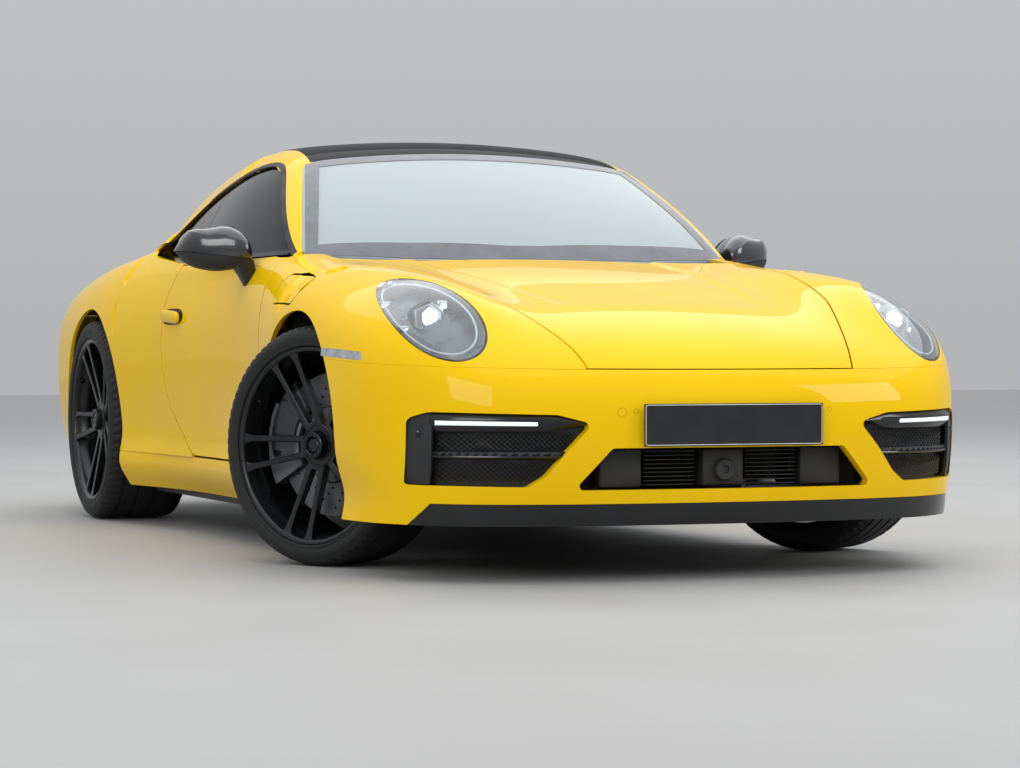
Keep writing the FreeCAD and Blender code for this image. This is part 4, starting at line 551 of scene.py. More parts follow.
# Black base coat under the same lacquer
black_paint = surface("black lacquered paint", ("#0B0C0E", "#0F1012"), (0.2, 0.26), mottle_mm=400.0,
                      Coat_Weight=0.3, Coat_Roughness=0.02, Coat_IOR=1.35, Specular_IOR_Level=0.0)
# Grained ABS mouldings: dull, with a fine leathery grain
grained_plastic = surface("grained black plastic", ("#1C1D1E", "#232425"), (0.5, 0.62), (1.1, 0.12, 0.5))
# Polished black ABS: mirror, grille bars and lip
gloss_plastic = surface("polished black plastic", ("#101113", "#16171A"), (0.1, 0.2), mottle_mm=120.0)
# Smoked cover of the side lamps, with the fine ribs of their light guide inside
side_lamp_cover = surface("smoked side lamp cover", ("#7E8589", "#A6ADB1"), (0.06, 0.12), (5.0, 0.3, 0.4),
                          mottle_mm=18.0, Coat_Weight=1.0, Coat_Roughness=0.02)
# The windscreen is three tenths pale diffuse layer, a painted reflection of the sky
windscreen_glass = clear_glass("laminated windscreen glass", "#DDE6E4", (0.0, 0.012), 0.3)
tinted_glass = clear_glass("grey tinted window glass", "#434A4B", (0.0, 0.012), 0.0, 1.28)
lamp_glass = clear_glass("clear lamp cover", "#F2F6F8", (0.0, 0.01))
# Silvered and satin parts inside the lamps
lamp_housing = surface("satin lamp bowl", ("#55585C", "#686C70"), (0.25, 0.36), (4.0, 0.02, 0.1),
    metallic=0.6)
red_lamp = surface("red lamp plastic", ("#7E0A0C", "#96100F"), (0.08, 0.14), (12.0, 0.3, 0.4),
                   Coat_Weight=1.0, Coat_Roughness=0.02)
white_lamp = surface("white lamp plastic", ("#D9DCDD", "#EEF0F0"), (0.12, 0.2), (6.0, 0.2, 0.2))
plate_metal = surface("white enamelled plate", ("#DDDEDC", "#E6E7E4"), (0.28, 0.36), (1.5, 0.02, 0.1))
underbody_steel = surface("dull black underbody", ("#151515", "#1E1D1C"), (0.55, 0.7), (2.0, 0.2, 0.4))
wheel_metal = surface("satin black wheel alloy", ("#111214", "#17181A"), (0.28, 0.36), (1.2, 0.02, 0.1),
                      metallic=0.35, Coat_Weight=0.3, Coat_Roughness=0.15)
disc_iron = surface("ground iron brake disc", ("#6A6B6C", "#7C7D7E"), (0.32, 0.42), (0.8, 0.03, 0.25),
    metallic=1.0)
tyre_rubber = surface("tyre rubber", ("#111212", "#191919"), (0.62, 0.75), (1.4, 0.06, 0.35))
cast_alloy = surface("cast aluminium arms", ("#7B7D7F", "#8B8C8D"), (0.42, 0.55), (1.6, 0.08, 0.35),
    metallic=0.9)
cabin_plastic = surface("soft black dashboard", ("#17181A", "#1E1F21"), (0.55, 0.66), (1.2, 0.1, 0.5))
seat_leather = surface("black seat leather", ("#191919", "#222120"), (0.42, 0.52), (2.2, 0.25, 0.55))
engine_alloy = surface("cast engine block", ("#6F7071", "#838485"), (0.45, 0.6), (2.0, 0.15, 0.4),
    metallic=0.85)
exhaust_steel = surface("brushed steel exhaust", ("#A7A8A9", "#BBBCBC"), (0.2, 0.3), (0.6, 0.02, 0.2),
    metallic=1.0)
floor_paint = surface("pale studio floor", ("#A3A3A2", "#A9A9A8"), (0.55, 0.65), (40.0, 0.4, 0.1),
    mottle_mm=900.0)

SLOT_MATERIALS = {
    "yellow_paint": yellow_paint, "black_paint": black_paint, "black_plastic": grained_plastic,
    "gloss_black": gloss_plastic, "glass": windscreen_glass, "tinted_glass": tinted_glass,
    "lamp_glass": lamp_glass, "lamp_housing": lamp_housing, "red_lamp": red_lamp, "white_lamp": white_lamp,
    "number_plate": plate_metal, "black_steel": underbody_steel, "wheel_alloy": wheel_metal,
    "disc_iron": disc_iron, "tyre_rubber": tyre_rubber, "arm_alloy": cast_alloy, "cabin_black": cabin_plastic,
    "seat_leather": seat_leather, "engine_alloy": engine_alloy, "exhaust_steel": exhaust_steel}


def give(made, material):
    made.data.materials.clear()
    made.data.materials.append(material)


for pieces in (frame["nodes"], panels):
    for node, made in pieces.items():
        give(made, SLOT_MATERIALS[cad_slots[node]])
give(panels["side_lamps"], side_lamp_cover)


# Ways of making pieces
def alone(made):
    """Selects one piece only and makes it the active one."""
    bpy.ops.object.select_all(action="DESELECT")
    made.select_set(True)
    bpy.context.view_layer.objects.active = made


def with_modifier(made, kind, **settings):
    """Adds one modifier to a piece and applies it."""
    alone(made)
    modifier = made.modifiers.new("step", kind)
    for key, value in settings.items():
        setattr(modifier, key, value)
    bpy.ops.object.modifier_apply(modifier=modifier.name)


def outward_faces(made):
    alone(made)
    bpy.ops.object.mode_set(mode="EDIT")
    bpy.ops.mesh.select_all(action="SELECT")
    bpy.ops.mesh.normals_make_consistent(inside=False)
    bpy.ops.object.mode_set(mode="OBJECT")


def smoothed(made, degrees=32):
    """Shades a piece smooth, with sharp edges where faces meet at more than an angle."""
    alone(made)
    bpy.ops.object.shade_smooth_by_angle(angle=math.radians(degrees))


def from_lists(name, points, edges, faces):
    mesh = bpy.data.meshes.new(name)
    mesh.from_pydata([tuple(p) for p in points], edges, faces)
    mesh.update()
    return linked(name, mesh)


def turned(name, profile, steps=64):
    """A closed profile of (radius, place along X) in millimetres, turned round the X axis."""
    points = [(along * MM, 0.0, radius * MM) for radius, along in profile]
    count = len(points)
    made = from_lists(name, points, [(i, (i + 1) % count) for i in range(count)], [])
    with_modifier(made, "SCREW", axis="X", angle=math.tau, steps=steps, render_steps=steps,
                  use_merge_vertices=True, merge_threshold=1e-5)
    alone(made)
    bpy.ops.object.mode_set(mode="EDIT")
    bpy.ops.mesh.select_all(action="SELECT")
    bpy.ops.mesh.remove_doubles(threshold=1e-5)
    bpy.ops.mesh.dissolve_degenerate()
    bpy.ops.object.mode_set(mode="OBJECT")
    outward_faces(made)
    return made


def block(name, low, high, bevel=2.0, segments=2):
    """A block with rounded edges between two corners, in millimetres."""
    bpy.ops.mesh.primitive_cube_add(size=1.0)
    made = bpy.context.object
    made.name = name
    middle = [(a + b) / 2 * MM for a, b in zip(low, high)]
    size = [abs(b - a) * MM for a, b in zip(low, high)]
    made.data.transform(Matrix.Translation(middle) @ Matrix.Diagonal(size + [1.0]))
    if bevel:
        with_modifier(made, "BEVEL", width=bevel * MM, segments=segments, limit_method="ANGLE")
    return made


def tube(name, points, radius, closed=False):
    """A round bar along places in metres; its radius is in millimetres."""
    data = bpy.data.curves.new(name, "CURVE")
    data.dimensions = "3D"
    data.bevel_depth = radius * MM
    data.bevel_resolution = 3
    data.use_fill_caps = True
    line = data.splines.new("POLY")
    line.points.add(len(points) - 1)
    for point, place in zip(line.points, points):
        point.co = (*place, 1.0)
    line.use_cyclic_u = closed
    alone(linked(name, data))
    bpy.ops.object.convert(target="MESH")
    return bpy.context.object


def joined(name, parts):
    bpy.ops.object.select_all(action="DESELECT")
    for part in parts:
        part.select_set(True)
    bpy.context.view_layer.objects.active = parts[0]
    bpy.ops.object.join()
    made = bpy.context.object
    made.name = name
    return made


def placed(made, matrix):
    """Moves a piece's mesh, and turns its faces back where the move mirrors them."""
    made.data.transform(matrix)
    if matrix.determinant() < 0:
        made.data.flip_normals()
    return made


def copy_of(made, name, matrix=None):
    twin = linked(name, made.data.copy())
    return placed(twin, matrix) if matrix else twin


MIRROR = Matrix.Diagonal((-1.0, 1.0, 1.0, 1.0))


def dress(made, body, slot, material, *replaced):
    """Gives a finished piece its material, its body and the CAD nodes that it stands for; slot is not used.
    """
    give(made, material)
    return ridden(made, body, replaced)


def dress_pair(name, model, angle, slot, material, *replaced):
    """One piece of the body from a model on the car's left and its mirror image on the right."""
    both_sides = joined(name, [model, copy_of(model, name + "_twin", MIRROR)])
    smoothed(both_sides, angle)
    dress(both_sides, "body", slot, material, *replaced)


def grid_sheet(name, rows):
    """A sheet through rows of places in metres, with its faces turned outwards."""
    wide = len(rows[0])
    points = [place for row in rows for place in row]
    faces = []
    for i in range(len(rows) - 1):
        for j in range(wide - 1):
            a = i * wide + j
            faces.append((a, a + 1, a + wide + 1, a + wide))
    made = from_lists(name, points, [], faces)
    outward_faces(made)
    return made


def thick_sheet(name, rows, thickness, offset=0.0):
    """A sheet with a thickness in millimetres, round its places or, with offset -1, on the inside of them."""
    made = grid_sheet(name, rows)
    with_modifier(made, "SOLIDIFY", thickness=thickness * MM, offset=offset)
    outward_faces(made)
    return made


def ring_loft(name, rings):
    """A closed skin through rings with the same number of places (mm), with a flat face at each end."""
    count = len(rings[0])
    points = [Vector(place) * MM for ring in rings for place in ring]
    faces = [tuple(range(count)), tuple(len(points) - 1 - k for k in range(count))]
    for i in range(len(rings) - 1):
        for k in range(count):
            a = i * count + k
            b = i * count + (k + 1) % count
            faces.append((a, b, b + count, a + count))
    made = from_lists(name, points, [], faces)
    outward_faces(made)
    return made


def rounded_ring(count, power=1.0):
    """Places round a circle of radius one; a power below one fills its corners towards a square."""
    ring = []
    for k in range(count):
        turn = math.tau * k / count
        across, up = (math.copysign(abs(part) ** power, part) for part in (math.cos(turn), math.sin(turn)))
        ring.append((across, up))
    return ring


def spaced(first, last, count):
    """Values at equal steps from the first to the last."""
    return [first + (last - first) * i / (count - 1) for i in range(count)]


def meet(form, start, direction, depth, reach=1600.0):
    """Where lines from far outside meet the surface a depth (mm) under a form; all in drawn millimetres."""
    near = np.zeros(len(start))
    far = np.full(len(start), reach)
    for _ in range(32):
        middle = (near + far) / 2
        p = start + direction * middle[:, None]
        inside = form(p[:, 0], p[:, 1], p[:, 2]) < -depth
        far = np.where(inside, middle, far)
        near = np.where(inside, near, middle)
    p = start + direction * far[:, None]
    p[:, 1] += SHIFT
    return p * MM


def on_nose(places, depth=0.0):
    """Places (x, z) in millimetres, seen from the front, on the nose's surface."""
    places = np.asarray(places, float)
    start = np.stack([places[:, 0], np.full(len(places), -2600.0), places[:, 1]], 1)
    return meet(lower_body, start, np.array([[0.0, 1.0, 0.0]]), depth)


def on_side(places, sign, depth=0.0, form=None):
    """Places (y, z) in millimetres, seen from one side, on the body's surface."""
    places = np.asarray(places, float)
    start = np.stack([np.full(len(places), sign * 1300.0), places[:, 0] - SHIFT, places[:, 1]], 1)
    return meet(form or whole_body, start, np.array([[-sign, 0.0, 0.0]]), depth, 1300.0)


def on_top(places, depth=0.0, form=None):
    """Places (x, y) in millimetres, seen from above, on the surface of a form."""
    places = np.asarray(places, float)
    start = np.stack([places[:, 0], places[:, 1] - SHIFT, np.full(len(places), 1700.0)], 1)
    return meet(form or cabin, start, np.array([[0.0, 0.0, -1.0]]), depth, 1700.0)


def inside_of(corners, place):
    """True where a place lies inside a polygon."""
    x, z = place
    found = False
    for (ax, az), (bx, bz) in zip(corners, corners[1:] + corners[:1]):
        if (az > z) != (bz > z) and x < (bx - ax) * (z - az) / (bz - az) + ax:
            found = not found
    return found


def ellipse(centre, half_x, half_z, count=72):
    return [(centre[0] + half_x * math.cos(math.tau * i / count),
        centre[1] + half_z * math.sin(math.tau * i / count))
            for i in range(count)]


# Wheels. Each is made with its outside towards +X and then set in its place
# Width, radius and rim radius of each axle's tyres, and the number of tread pitches round a tyre
TYRES = {"front": (245.0, 340.0, 272.0), "rear": (305.0, 358.0, 284.0)}
PITCHES = 72
# The front wheels stand turned as in the photo, and the right-hand wheels face the other way
STEERED = Matrix.Rotation(math.radians(28.0), 4, "Z")
TURNED_ROUND = Matrix.Rotation(math.pi, 4, "Z")
WHEEL_PLACES = {
    "front_left": Matrix.Translation((0.7797, -1.2554, 0.34)) @ STEERED,
    "front_right": Matrix.Translation((-0.7797, -1.2976, 0.34)) @ STEERED @ TURNED_ROUND,
    "rear_left": Matrix.Translation((0.765, 1.1735, 0.358)),
    "rear_right": Matrix.Translation((-0.765, 1.1735, 0.358)) @ TURNED_ROUND}


def tyre(end):
    width, radius, rim = TYRES[end]
    half = width / 2
    wall = radius - rim
    side = [
        (rim + 0.6, half - 15), (rim + 7, half - 12.5), (rim + 8, half - 7), (rim + 11, half - 3.4),
        (rim + 15, half - 2.8), (rim + 17, half - 4.6), (rim + 0.36 * wall, half - 2.0),
        (rim + 0.5 * wall, half - 1.6), (rim + 0.6 * wall, half - 3.8), (rim + 0.61 * wall, half - 5.0),
        (radius - 20, half - 7.8), (radius - 19, half - 8.6), (radius - 13, half - 11.4),
        (radius - 8.5, half - 17), (radius - 4.5, half - 27), (radius - 2.2, half - 38)]
    grooves = []
    for place in (0.58 * half, 0.2 * half):
        grooves += [(radius - 1.4, place + 6), (radius - 8, place + 4.5), (radius - 8, place - 4.5),
                    (radius - 1.2, place - 6)]
    outer = side + grooves
    profile = outer + [(r, -o) for r, o in reversed(outer)]
    made = turned(end + "_tyre", profile, 4 * PITCHES)
    places = read_mesh(made.data.vertices, "co")
    reach = np.hypot(places[:, 1], places[:, 2])
    turn = np.round(np.arctan2(places[:, 1], places[:, 2]) / math.tau * 4 * PITCHES)
    off = np.abs(places[:, 0]) / MM
    slant = np.round((half - off) / 11)
    shoulder = (reach / MM > radius - 14) & (off > 0.66 * half)
    pressed = shoulder & ((turn + slant) % 4 == 0)
    ribs = (reach / MM > radius - 3) & (off > 0.26 * half) & (off < 0.52 * half) & ((turn + slant) % 8 == 0)
    smaller = np.where(pressed, 5.5 * MM, np.where(ribs, 4 * MM, 0.0))
    places[:, 1:] *= ((reach - smaller) / reach)[:, None]
    made.data.vertices.foreach_set("co", places.ravel())
    smoothed(made, 28)
    return made


# Pairs of spokes, and the angle of the first pair in degrees
SPOKE_PAIRS = 5
FIRST_PAIR = 24.0
# Radius and half width of a spoke's sections, for the front rims' radius
SPOKE_SECTIONS = (
    (46, 10), (60, 10), (80, 9.5), (120, 8.8), (170, 8.6), (215, 9), (240, 10), (253, 12.5), (263, 18))


def spoke(half, rim, skew):
    """One arm of a spoke pair, standing up along Z, with bevelled edges and a flare at the rim."""
    rows = []
    for r, wide in SPOKE_SECTIONS:
        r_scaled = r * rim / 272.0
        share = max(0.0, (r - 48) / 214)
        top = half - 50 + 33 * share ** 1.2
        deep = 30 - 8 * share
        middle = skew * (15.5 + 0.104 * r_scaled)
        section = [(-wide, top - 3.0), (-wide + 3.2, top), (wide - 3.2, top), (wide, top - 3.0),
                   (wide * 0.7, top - deep), (-wide * 0.7, top - deep)]
        rows.append([(o, middle + t, r_scaled) for t, o in section])
    return ring_loft("arm", rows)


def rim(end):
    width, radius, edge = TYRES[end]
    half = width / 2
    barrel = turned("barrel", [
        (edge + 6.5, half - 13), (edge + 6.5, half - 10.6), (edge + 4.6, half - 9.4),
        (edge - 0.5, half - 9.8), (edge - 5, half - 12), (edge - 8.5, half - 18), (edge - 10, half - 30),
        (edge - 12.5, half - 46), (edge - 17, half - 54), (edge - 19, half - 70), (edge - 19, 24 - half),
        (edge - 12, 14 - half), (edge - 2, 12 - half), (edge, 14 - half), (edge, half - 14.2)], 160)
    parts = [barrel]
    for i in range(SPOKE_PAIRS):
        turn = Matrix.Rotation(math.radians(FIRST_PAIR + 360.0 / SPOKE_PAIRS * i), 4, "X")
        for skew in (-1, 1):
            parts.append(placed(spoke(half, edge, skew), turn))
        bridge = block("bridge", (half - 74, -23, 55), (half - 48.5, 23, 71), 3.0)
        parts.append(placed(bridge, turn))
    parts.append(turned("hub", [
        (39.5, half - 48), (41, half - 45.5), (44, half - 45.5), (46, half - 48.5), (54, half - 48.5),
        (56, half - 46), (59, half - 46), (61, half - 48), (61, half - 91), (36, half - 91),
        (36, half - 50)], 96))
    parts.append(turned("nut", [
        (0.01, half - 27), (17, half - 27), (19, half - 28.5), (19.5, half - 33), (22, half - 33.5),
        (24, half - 25), (26, half - 23), (34, half - 23), (36.5, half - 25), (38, half - 30),
        (38, half - 60), (0.01, half - 60)], 80))
    pin_profile = [
        (0.01, half - 20.5), (2.4, half - 21), (3.2, half - 22.2), (3.2, half - 26), (0.01, half - 26)]
    for i in range(10):
        pin = turned("pin", pin_profile, 14)
        pin.data.transform(Matrix.Translation((0.0, 0.0, 0.030)))
        parts.append(placed(pin, Matrix.Rotation(math.tau * i / 10, 4, "X")))
    valve = turned("valve", [(0.01, 20), (3.4, 20), (4.2, 18), (4.2, 4), (5.5, 0), (0.01, 0)], 16)
    between_pairs = Matrix.Rotation(math.radians(FIRST_PAIR + 180.0 / SPOKE_PAIRS), 4, "X")
    foot = Matrix.Translation(((half - 40) * MM, 0.0, (edge - 18) * MM))
    parts.append(placed(valve, between_pairs @ foot @ Matrix.Rotation(math.radians(35), 4, "Y")))
    made = joined(end + "_rim", parts)
    smoothed(made, 34)
    return made


# Slanted rows of four holes in a brake disc
HOLE_ROWS = 16


def disc(end, radius, face):
    """A vented disc: two rings with a gap between them, drilled, and the bell in its middle."""
    ring = turned(end + "_disc", [
        (46, face + 12), (98, face + 12), (106, face + 8), (110, face - 0.6), (radius - 1.5, face - 0.6),
        (radius - 0.4, face - 2), (radius - 0.4, face - 11), (radius - 9, face - 12),
        (radius - 9, face - 22), (radius - 0.4, face - 23), (radius - 0.4, face - 32),
        (radius - 1.5, face - 33.5), (46, face - 33.5)], 128)
    bore = [(0.01, face + 6), (3.6, face + 6), (3.6, face - 12), (0.01, face - 12)]
    holes = []
    for i in range(HOLE_ROWS):
        for k in range(4):
            turn = math.tau * (i + 0.28 * k) / HOLE_ROWS
            reach = (122 + k * (radius - 136) / 3.6) * MM
            hole = turned("hole", bore, 10)
            hole.data.transform(Matrix.Translation((0.0, reach * math.sin(turn), reach * math.cos(turn))))
            holes.append(hole)
    cutter = joined("holes", holes)
    with_modifier(ring, "BOOLEAN", object=cutter, operation="DIFFERENCE", solver="FAST")
    bpy.data.objects.remove(cutter)
    smoothed(ring, 30)
    return ring


# Radius of each axle's brake discs, and how far their outer faces lie outside the wheel's middle
DISCS = {"front": (204.0, 16.0), "rear": (190.0, 40.0)}
for end, (radius, face) in DISCS.items():
    models = {"tyre": tyre(end), "rim": rim(end), "brake_disc": disc(end, radius, face)}
    finishes = {"tyre": tyre_rubber, "rim": wheel_metal, "brake_disc": disc_iron}
    for side in ("left", "right"):
        corner = end + "_" + side
        for kind, model in models.items():
            made = copy_of(model, kind + "_model_" + corner, WHEEL_PLACES[corner])
            node = kind + "_" + corner
            dress(made, "wheel_" + corner, cad_slots[node], finishes[kind], node)
    for model in models.values():
        bpy.data.objects.remove(model)


# Headlamps: a satin bowl, a hexagonal projector, four lamp blocks round it, a light ring and a seal
LAMP_X = LAMP_CUT_X - LAMP_SLIDE
PROJECTOR_Y = -1858.0
# How far each lamp block lies outside, above and behind the projector, and its width
LAMP_BLOCKS = ((56, 34, 26, 30), (50, -34, 26, 30), (-50, 34, 4, 24), (-48, -35, 4, 24))
lamp_light = surface("lit lamp lens", ("#EAF3FF", "#F6FAFF"), (0.08, 0.12), (6.0, 0.1, 0.1),
                     Emission_Color=linear("#EAF3FF"), Emission_Strength=0.8)
soft_light = surface("light guide", ("#A9B0B6", "#BCC3C8"), (0.15, 0.22), (5.0, 0.1, 0.1),
                     Emission_Color=linear("#DDE8F2"), Emission_Strength=0.08)
bar_light = surface("lit daytime bar", ("#E6EDF2", "#F1F6FA"), (0.15, 0.22), (5.0, 0.1, 0.1),
                    Emission_Color=linear("#E3EEF8"), Emission_Strength=0.4)
chrome = surface("bright plated bezel", ("#B9BCBF", "#CACDCF"), (0.1, 0.18), (3.0, 0.01, 0.05), metallic=1.0)
seal_rubber = surface("black seal rubber", ("#0D0D0E", "#141415"), (0.45, 0.6), (1.0, 0.05, 0.3))


def facing_front(x, y, z):
    """Turns a piece made along +X so that it looks forward from a place, in millimetres."""
    return Matrix.Translation((x * MM, y * MM, z * MM)) @ Matrix.Rotation(math.radians(-90), 4, "Z")


def headlamp():
    """The inside of the lamp on the car's left, in three finishes."""
    bezel = turned("bezel", [(45, 2), (47, 6), (38, 7), (34, 0), (34, -8), (46, -60), (47, -20)], 6)
    with_modifier(bezel, "BEVEL", width=1.2 * MM, segments=2, limit_method="ANGLE")
    parts = [placed(bezel, facing_front(LAMP_X, PROJECTOR_Y, LAMP_Z))]
    lenses = [placed(turned("lens", [(0.01, 8), (14, 6.5), (25, 3), (33, -3), (33, -10), (0.01, -10)], 6),
                     facing_front(LAMP_X, PROJECTOR_Y, LAMP_Z))]
    for across, up, back, wide in LAMP_BLOCKS:
        x = LAMP_X + across
        z = LAMP_Z + up
        y = max(PROJECTOR_Y + back, on_nose([(x + wide / 2 + 6, z + 10)], 26.0)[0][1] / MM)
        for made, name, half, front, rear, tall, bevel in (
                (parts, "housing", wide / 2 + 5, -4, 50, 15, 7.0),
                (lenses, "light", wide / 2 - 3, -8, 2, 8, 6.0)):
            low = (x - half, y + front, z - tall)
            high = (x + half, y + rear, z + tall)
            made.append(block(name, low, high, bevel, 4))
    return joined("lamp_bezels", parts), joined("lamp_lights", lenses)


def lamp_rings():
    """The ring of light inside the lamp, and the seal round its cover."""
    inner = ellipse((LAMP_X, LAMP_Z), 87, 95)
    edge = ellipse((LAMP_X, LAMP_Z), 103.5, 111.5, 96)
    guide = tube("lamp_guide", on_nose(inner, 16.0), 2.6, True)
    seal = tube("lamp_seal", on_nose(edge, 3.6), 3.0, True)
    return guide, seal


bezels, lights = headlamp()
guide, seal = lamp_rings()
bowl = copy_of(frame["nodes"]["headlamp_units"], "headlamp_bowls")
slide_lamps(bowl.data.vertices)
smoothed(bowl, 40)
dress(bowl, "body", "lamp_housing", lamp_housing, "headlamp_units")
for model, name, slot, material in (
        (bezels, "headlamp_bezels", "lamp_housing", chrome),
        (lights, "headlamp_lights", "lamp_housing", lamp_light),
        (guide, "headlamp_guides", "lamp_housing", soft_light),
        (seal, "headlamp_seals", "black_plastic", seal_rubber)):
    dress_pair(name, model, 35, slot, material)


# Front openings: sensor panel, lamp housing, light bar, mesh and bars
def nose_strip(name, sections, depths, thickness):
    """A strip over the nose: sections of (x, top z, low z), and the depth of its rows from top to bottom."""
    rows = []
    for i, depth in enumerate(depths):
        share = i / (len(depths) - 1)
        places = [(x, top + (low - top) * share) for x, top, low in sections]
        rows.append(on_nose(places, depth))
    return thick_sheet(name, rows, thickness, -1.0)


def lamp_bar_sections(inner, outer, count):
    """Sections of the lamp housing, which grows narrower and lower towards the car's middle."""
    sections = []
    for x in spaced(outer, inner, count):
        share = max(0.0, (500.0 - x) / 112.0)
        sections.append((x, 443 - 26 * share ** 1.5, 397 + 17 * share ** 0.8))
    return sections


def mesh_panel(name, corners, cell, depth, bar):
    """Expanded metal: diamond cells over a shape on the nose, each with its bars."""
    xs = [c[0] for c in corners]
    zs = [c[1] for c in corners]
    columns = range(int((max(xs) - min(xs)) / cell) + 1)
    rows = range(int((max(zs) - min(zs)) / cell) + 1)
    index = {}
    places = []
    faces = []
    for i in columns:
        for j in rows:
            if (i + j) % 2:
                continue
            ring = [(min(xs) + (i + a) * cell, min(zs) + (j + b) * cell)
                    for a, b in ((-1, 0), (0, -1), (1, 0), (0, 1))]
            if not all(inside_of(corners, place) for place in ring):
                continue
            face = []
            for place in ring:
                key = (round(place[0], 1), round(place[1], 1))
                if key not in index:
                    index[key] = len(places)
                    places.append(place)
                face.append(index[key])
            faces.append(face)
    made = from_lists(name, on_nose(places, depth), [], faces)
    with_modifier(made, "WIREFRAME", thickness=bar * MM, use_replace=True, use_even_offset=False)
    return made


MESH_CELL = 6.5
MESH_DEPTH = 26.0
MESH_BAR = 2.6
UPPER_MESH = [(768, 338), (768, 400), (430, 400), (418, 386), (446, 350), (456, 338)]
LOWER_MESH = [(768, 260), (768, 323), (468, 323), (505, 284), (546, 259)]
meshes = joined("meshes", [mesh_panel("mesh", corners, MESH_CELL, MESH_DEPTH, MESH_BAR)
                           for corners in (UPPER_MESH, LOWER_MESH)])
dress_pair("intake_meshes", meshes, 35, "black_plastic", gloss_plastic)
SENSOR_PANEL = [(x, 446 - max(0, x - 790) * 0.4, 257) for x in spaced(813, 766, 8)]
BAR = [(x, 337, 324 + max(0, 480 - x) * 0.2) for x in spaced(770, 452, 20)]
LIGHT_BAR = [(x, 424.5 - 0.012 * (761 - x), 413 - 0.008 * (761 - x)) for x in spaced(761, 530, 20)]
# Name, sections, depths of the rows, thickness and material
NOSE_STRIPS = (
    ("intake_lamp_housings", lamp_bar_sections(392, 772, 30), (10, 4, 3, 8, 16), 10.0, gloss_plastic),
    ("intake_sensor_panels", SENSOR_PANEL, (9, 5, 5, 5, 5, 9), 8.0, grained_plastic),
    ("intake_bars", BAR, (20, 9, 8, 10, 20), 8.0, gloss_plastic),
    ("daytime_light_bars", LIGHT_BAR, (3.4, 1.2, 1.2, 3.4), 3.0, bar_light))
for name, sections, depths, thickness, material in NOSE_STRIPS:
    strip = nose_strip(name, sections, depths, thickness)
    if name == "daytime_light_bars":
        dress_pair(name, strip, 40, "white_lamp", material, "daytime_lamps")
    else:
        dress_pair(name, strip, 40, "black_plastic", material)
sensor = turned("sensor", [(0.01, 2.5), (6, 2.4), (8.5, 1), (8.5, -4), (0.01, -4)], 28)
sensor_place = on_nose([(791, 391)], 4.0)[0] / MM
sensor = placed(sensor, facing_front(*sensor_place) @ Matrix.Rotation(0.5, 4, "Z"))
dress_pair("intake_sensors", sensor, 35, "black_plastic", gloss_plastic)

# Centre opening: louvres between two side blocks, and the round sensor in its housing
centre_parts = []
for sign in (-1, 1):
    low_x, high_x = sorted((sign * 232, sign * 352))
    centre_parts.append(block("shutter", (low_x, -2190, 247), (high_x, -2120, 352), 7.0, 3))
    for k in range(9):
        low_x, high_x = sorted((sign * 74, sign * 222))
        slat = block("louvre", (low_x, -2180, 252 + 11 * k), (high_x, -2162, 255 + 11 * k), 1.0)
        centre_parts.append(slat)
centre_parts.append(block("carrier", (-60, -2200, 247), (60, -2150, 350), 9.0, 3))
housing = turned("eye", [(0.01, 4), (9, 4.5), (11, 9), (14, 10), (26, 10), (30, 4), (31, -20), (0.01, -20)],
    40)
centre_parts.append(placed(housing, facing_front(0, -2204, 292)))
centre = joined("centre_intake_parts", centre_parts)
smoothed(centre, 35)
dress(centre, "body", "black_plastic", grained_plastic)
grilles = copy_of(frame["nodes"]["front_grilles"], "grille_backs")
work = bmesh.new()
work.from_mesh(grilles.data)
bmesh.ops.remove_doubles(work, verts=work.verts, dist=SAME_PLACE)
# The middle grille, with all that hangs together with it, reaches to here; the new parts stand for it
MIDDLE_GRILLE = 0.36
middle = [v for v in work.verts if abs(v.co.x) < MIDDLE_GRILLE]
reached = set(middle)
waiting = list(middle)
while waiting:
    for edge in waiting.pop().link_edges:
        for vertex in edge.verts:
            if vertex not in reached:
                reached.add(vertex)
                waiting.append(vertex)
bmesh.ops.delete(work, geom=list(reached), context="VERTS")
work.to_mesh(grilles.data)
work.free()
smoothed(grilles, 35)
dress(grilles, "body", "black_plastic", grained_plastic, "front_grilles")

# Small round covers in the bumper, the towing eye's cap and the parking sensors, drawn only as thin rings of
# painted shade: darkened yellow where the gaps round them lie
painted_gap_shade = surface("shadow gap in yellow paint", ("#6E5A0C", "#7A640E"), (0.5, 0.6), (1.0, 0.02, 0.1))
rings = []
for x, z, size in ((-311, 445.5, 12.0), (-273, 449, 6.0), (292, 450, 6.0)):
    rings.append(tube("ring", on_nose(ellipse((x, z), size * 1.02, size, 40), 0.5), 0.7, True))
covers = joined("painted_cover_gap_shade", rings)
smoothed(covers)
dress(covers, "body", "black_plastic", painted_gap_shade)


# Number plates: bare black plates with a raised pale edge
plate_black = surface("black acrylic plate", ("#0C0D10", "#111215"), (0.12, 0.2), (2.0, 0.01, 0.05),
                      Coat_Weight=0.6, Coat_Roughness=0.03)
plate_edge = surface("pale plate edge", ("#C9CBCD", "#D5D7D8"), (0.22, 0.3), (2.0, 0.01, 0.05))


PLATE_HALF_WIDTH = 259.5
PLATE_HEIGHT = 111
PLATE_THICKNESS = 5.6


def bare_plate(name, y, outward, bottom):
    """A plate with round corners, and its thin raised edge."""
    front, back = sorted((y, y - PLATE_THICKNESS * outward))
    sheet_part = block(name, (-PLATE_HALF_WIDTH, front, bottom),
        (PLATE_HALF_WIDTH, back, bottom + PLATE_HEIGHT))
    ring = []
    for cx, cz, first in ((250, 102, 0), (-250, 102, 90), (-250, 9, 180), (250, 9, 270)):
        for k in range(5):
            a = math.radians(first + 22.5 * k)
            ring.append(((cx + 5.5 * math.cos(a)) * MM, y * MM, (bottom + cz + 5.5 * math.sin(a)) * MM))
    edge = tube(name + "_edge", ring, 1.1, True)
    return sheet_part, edge


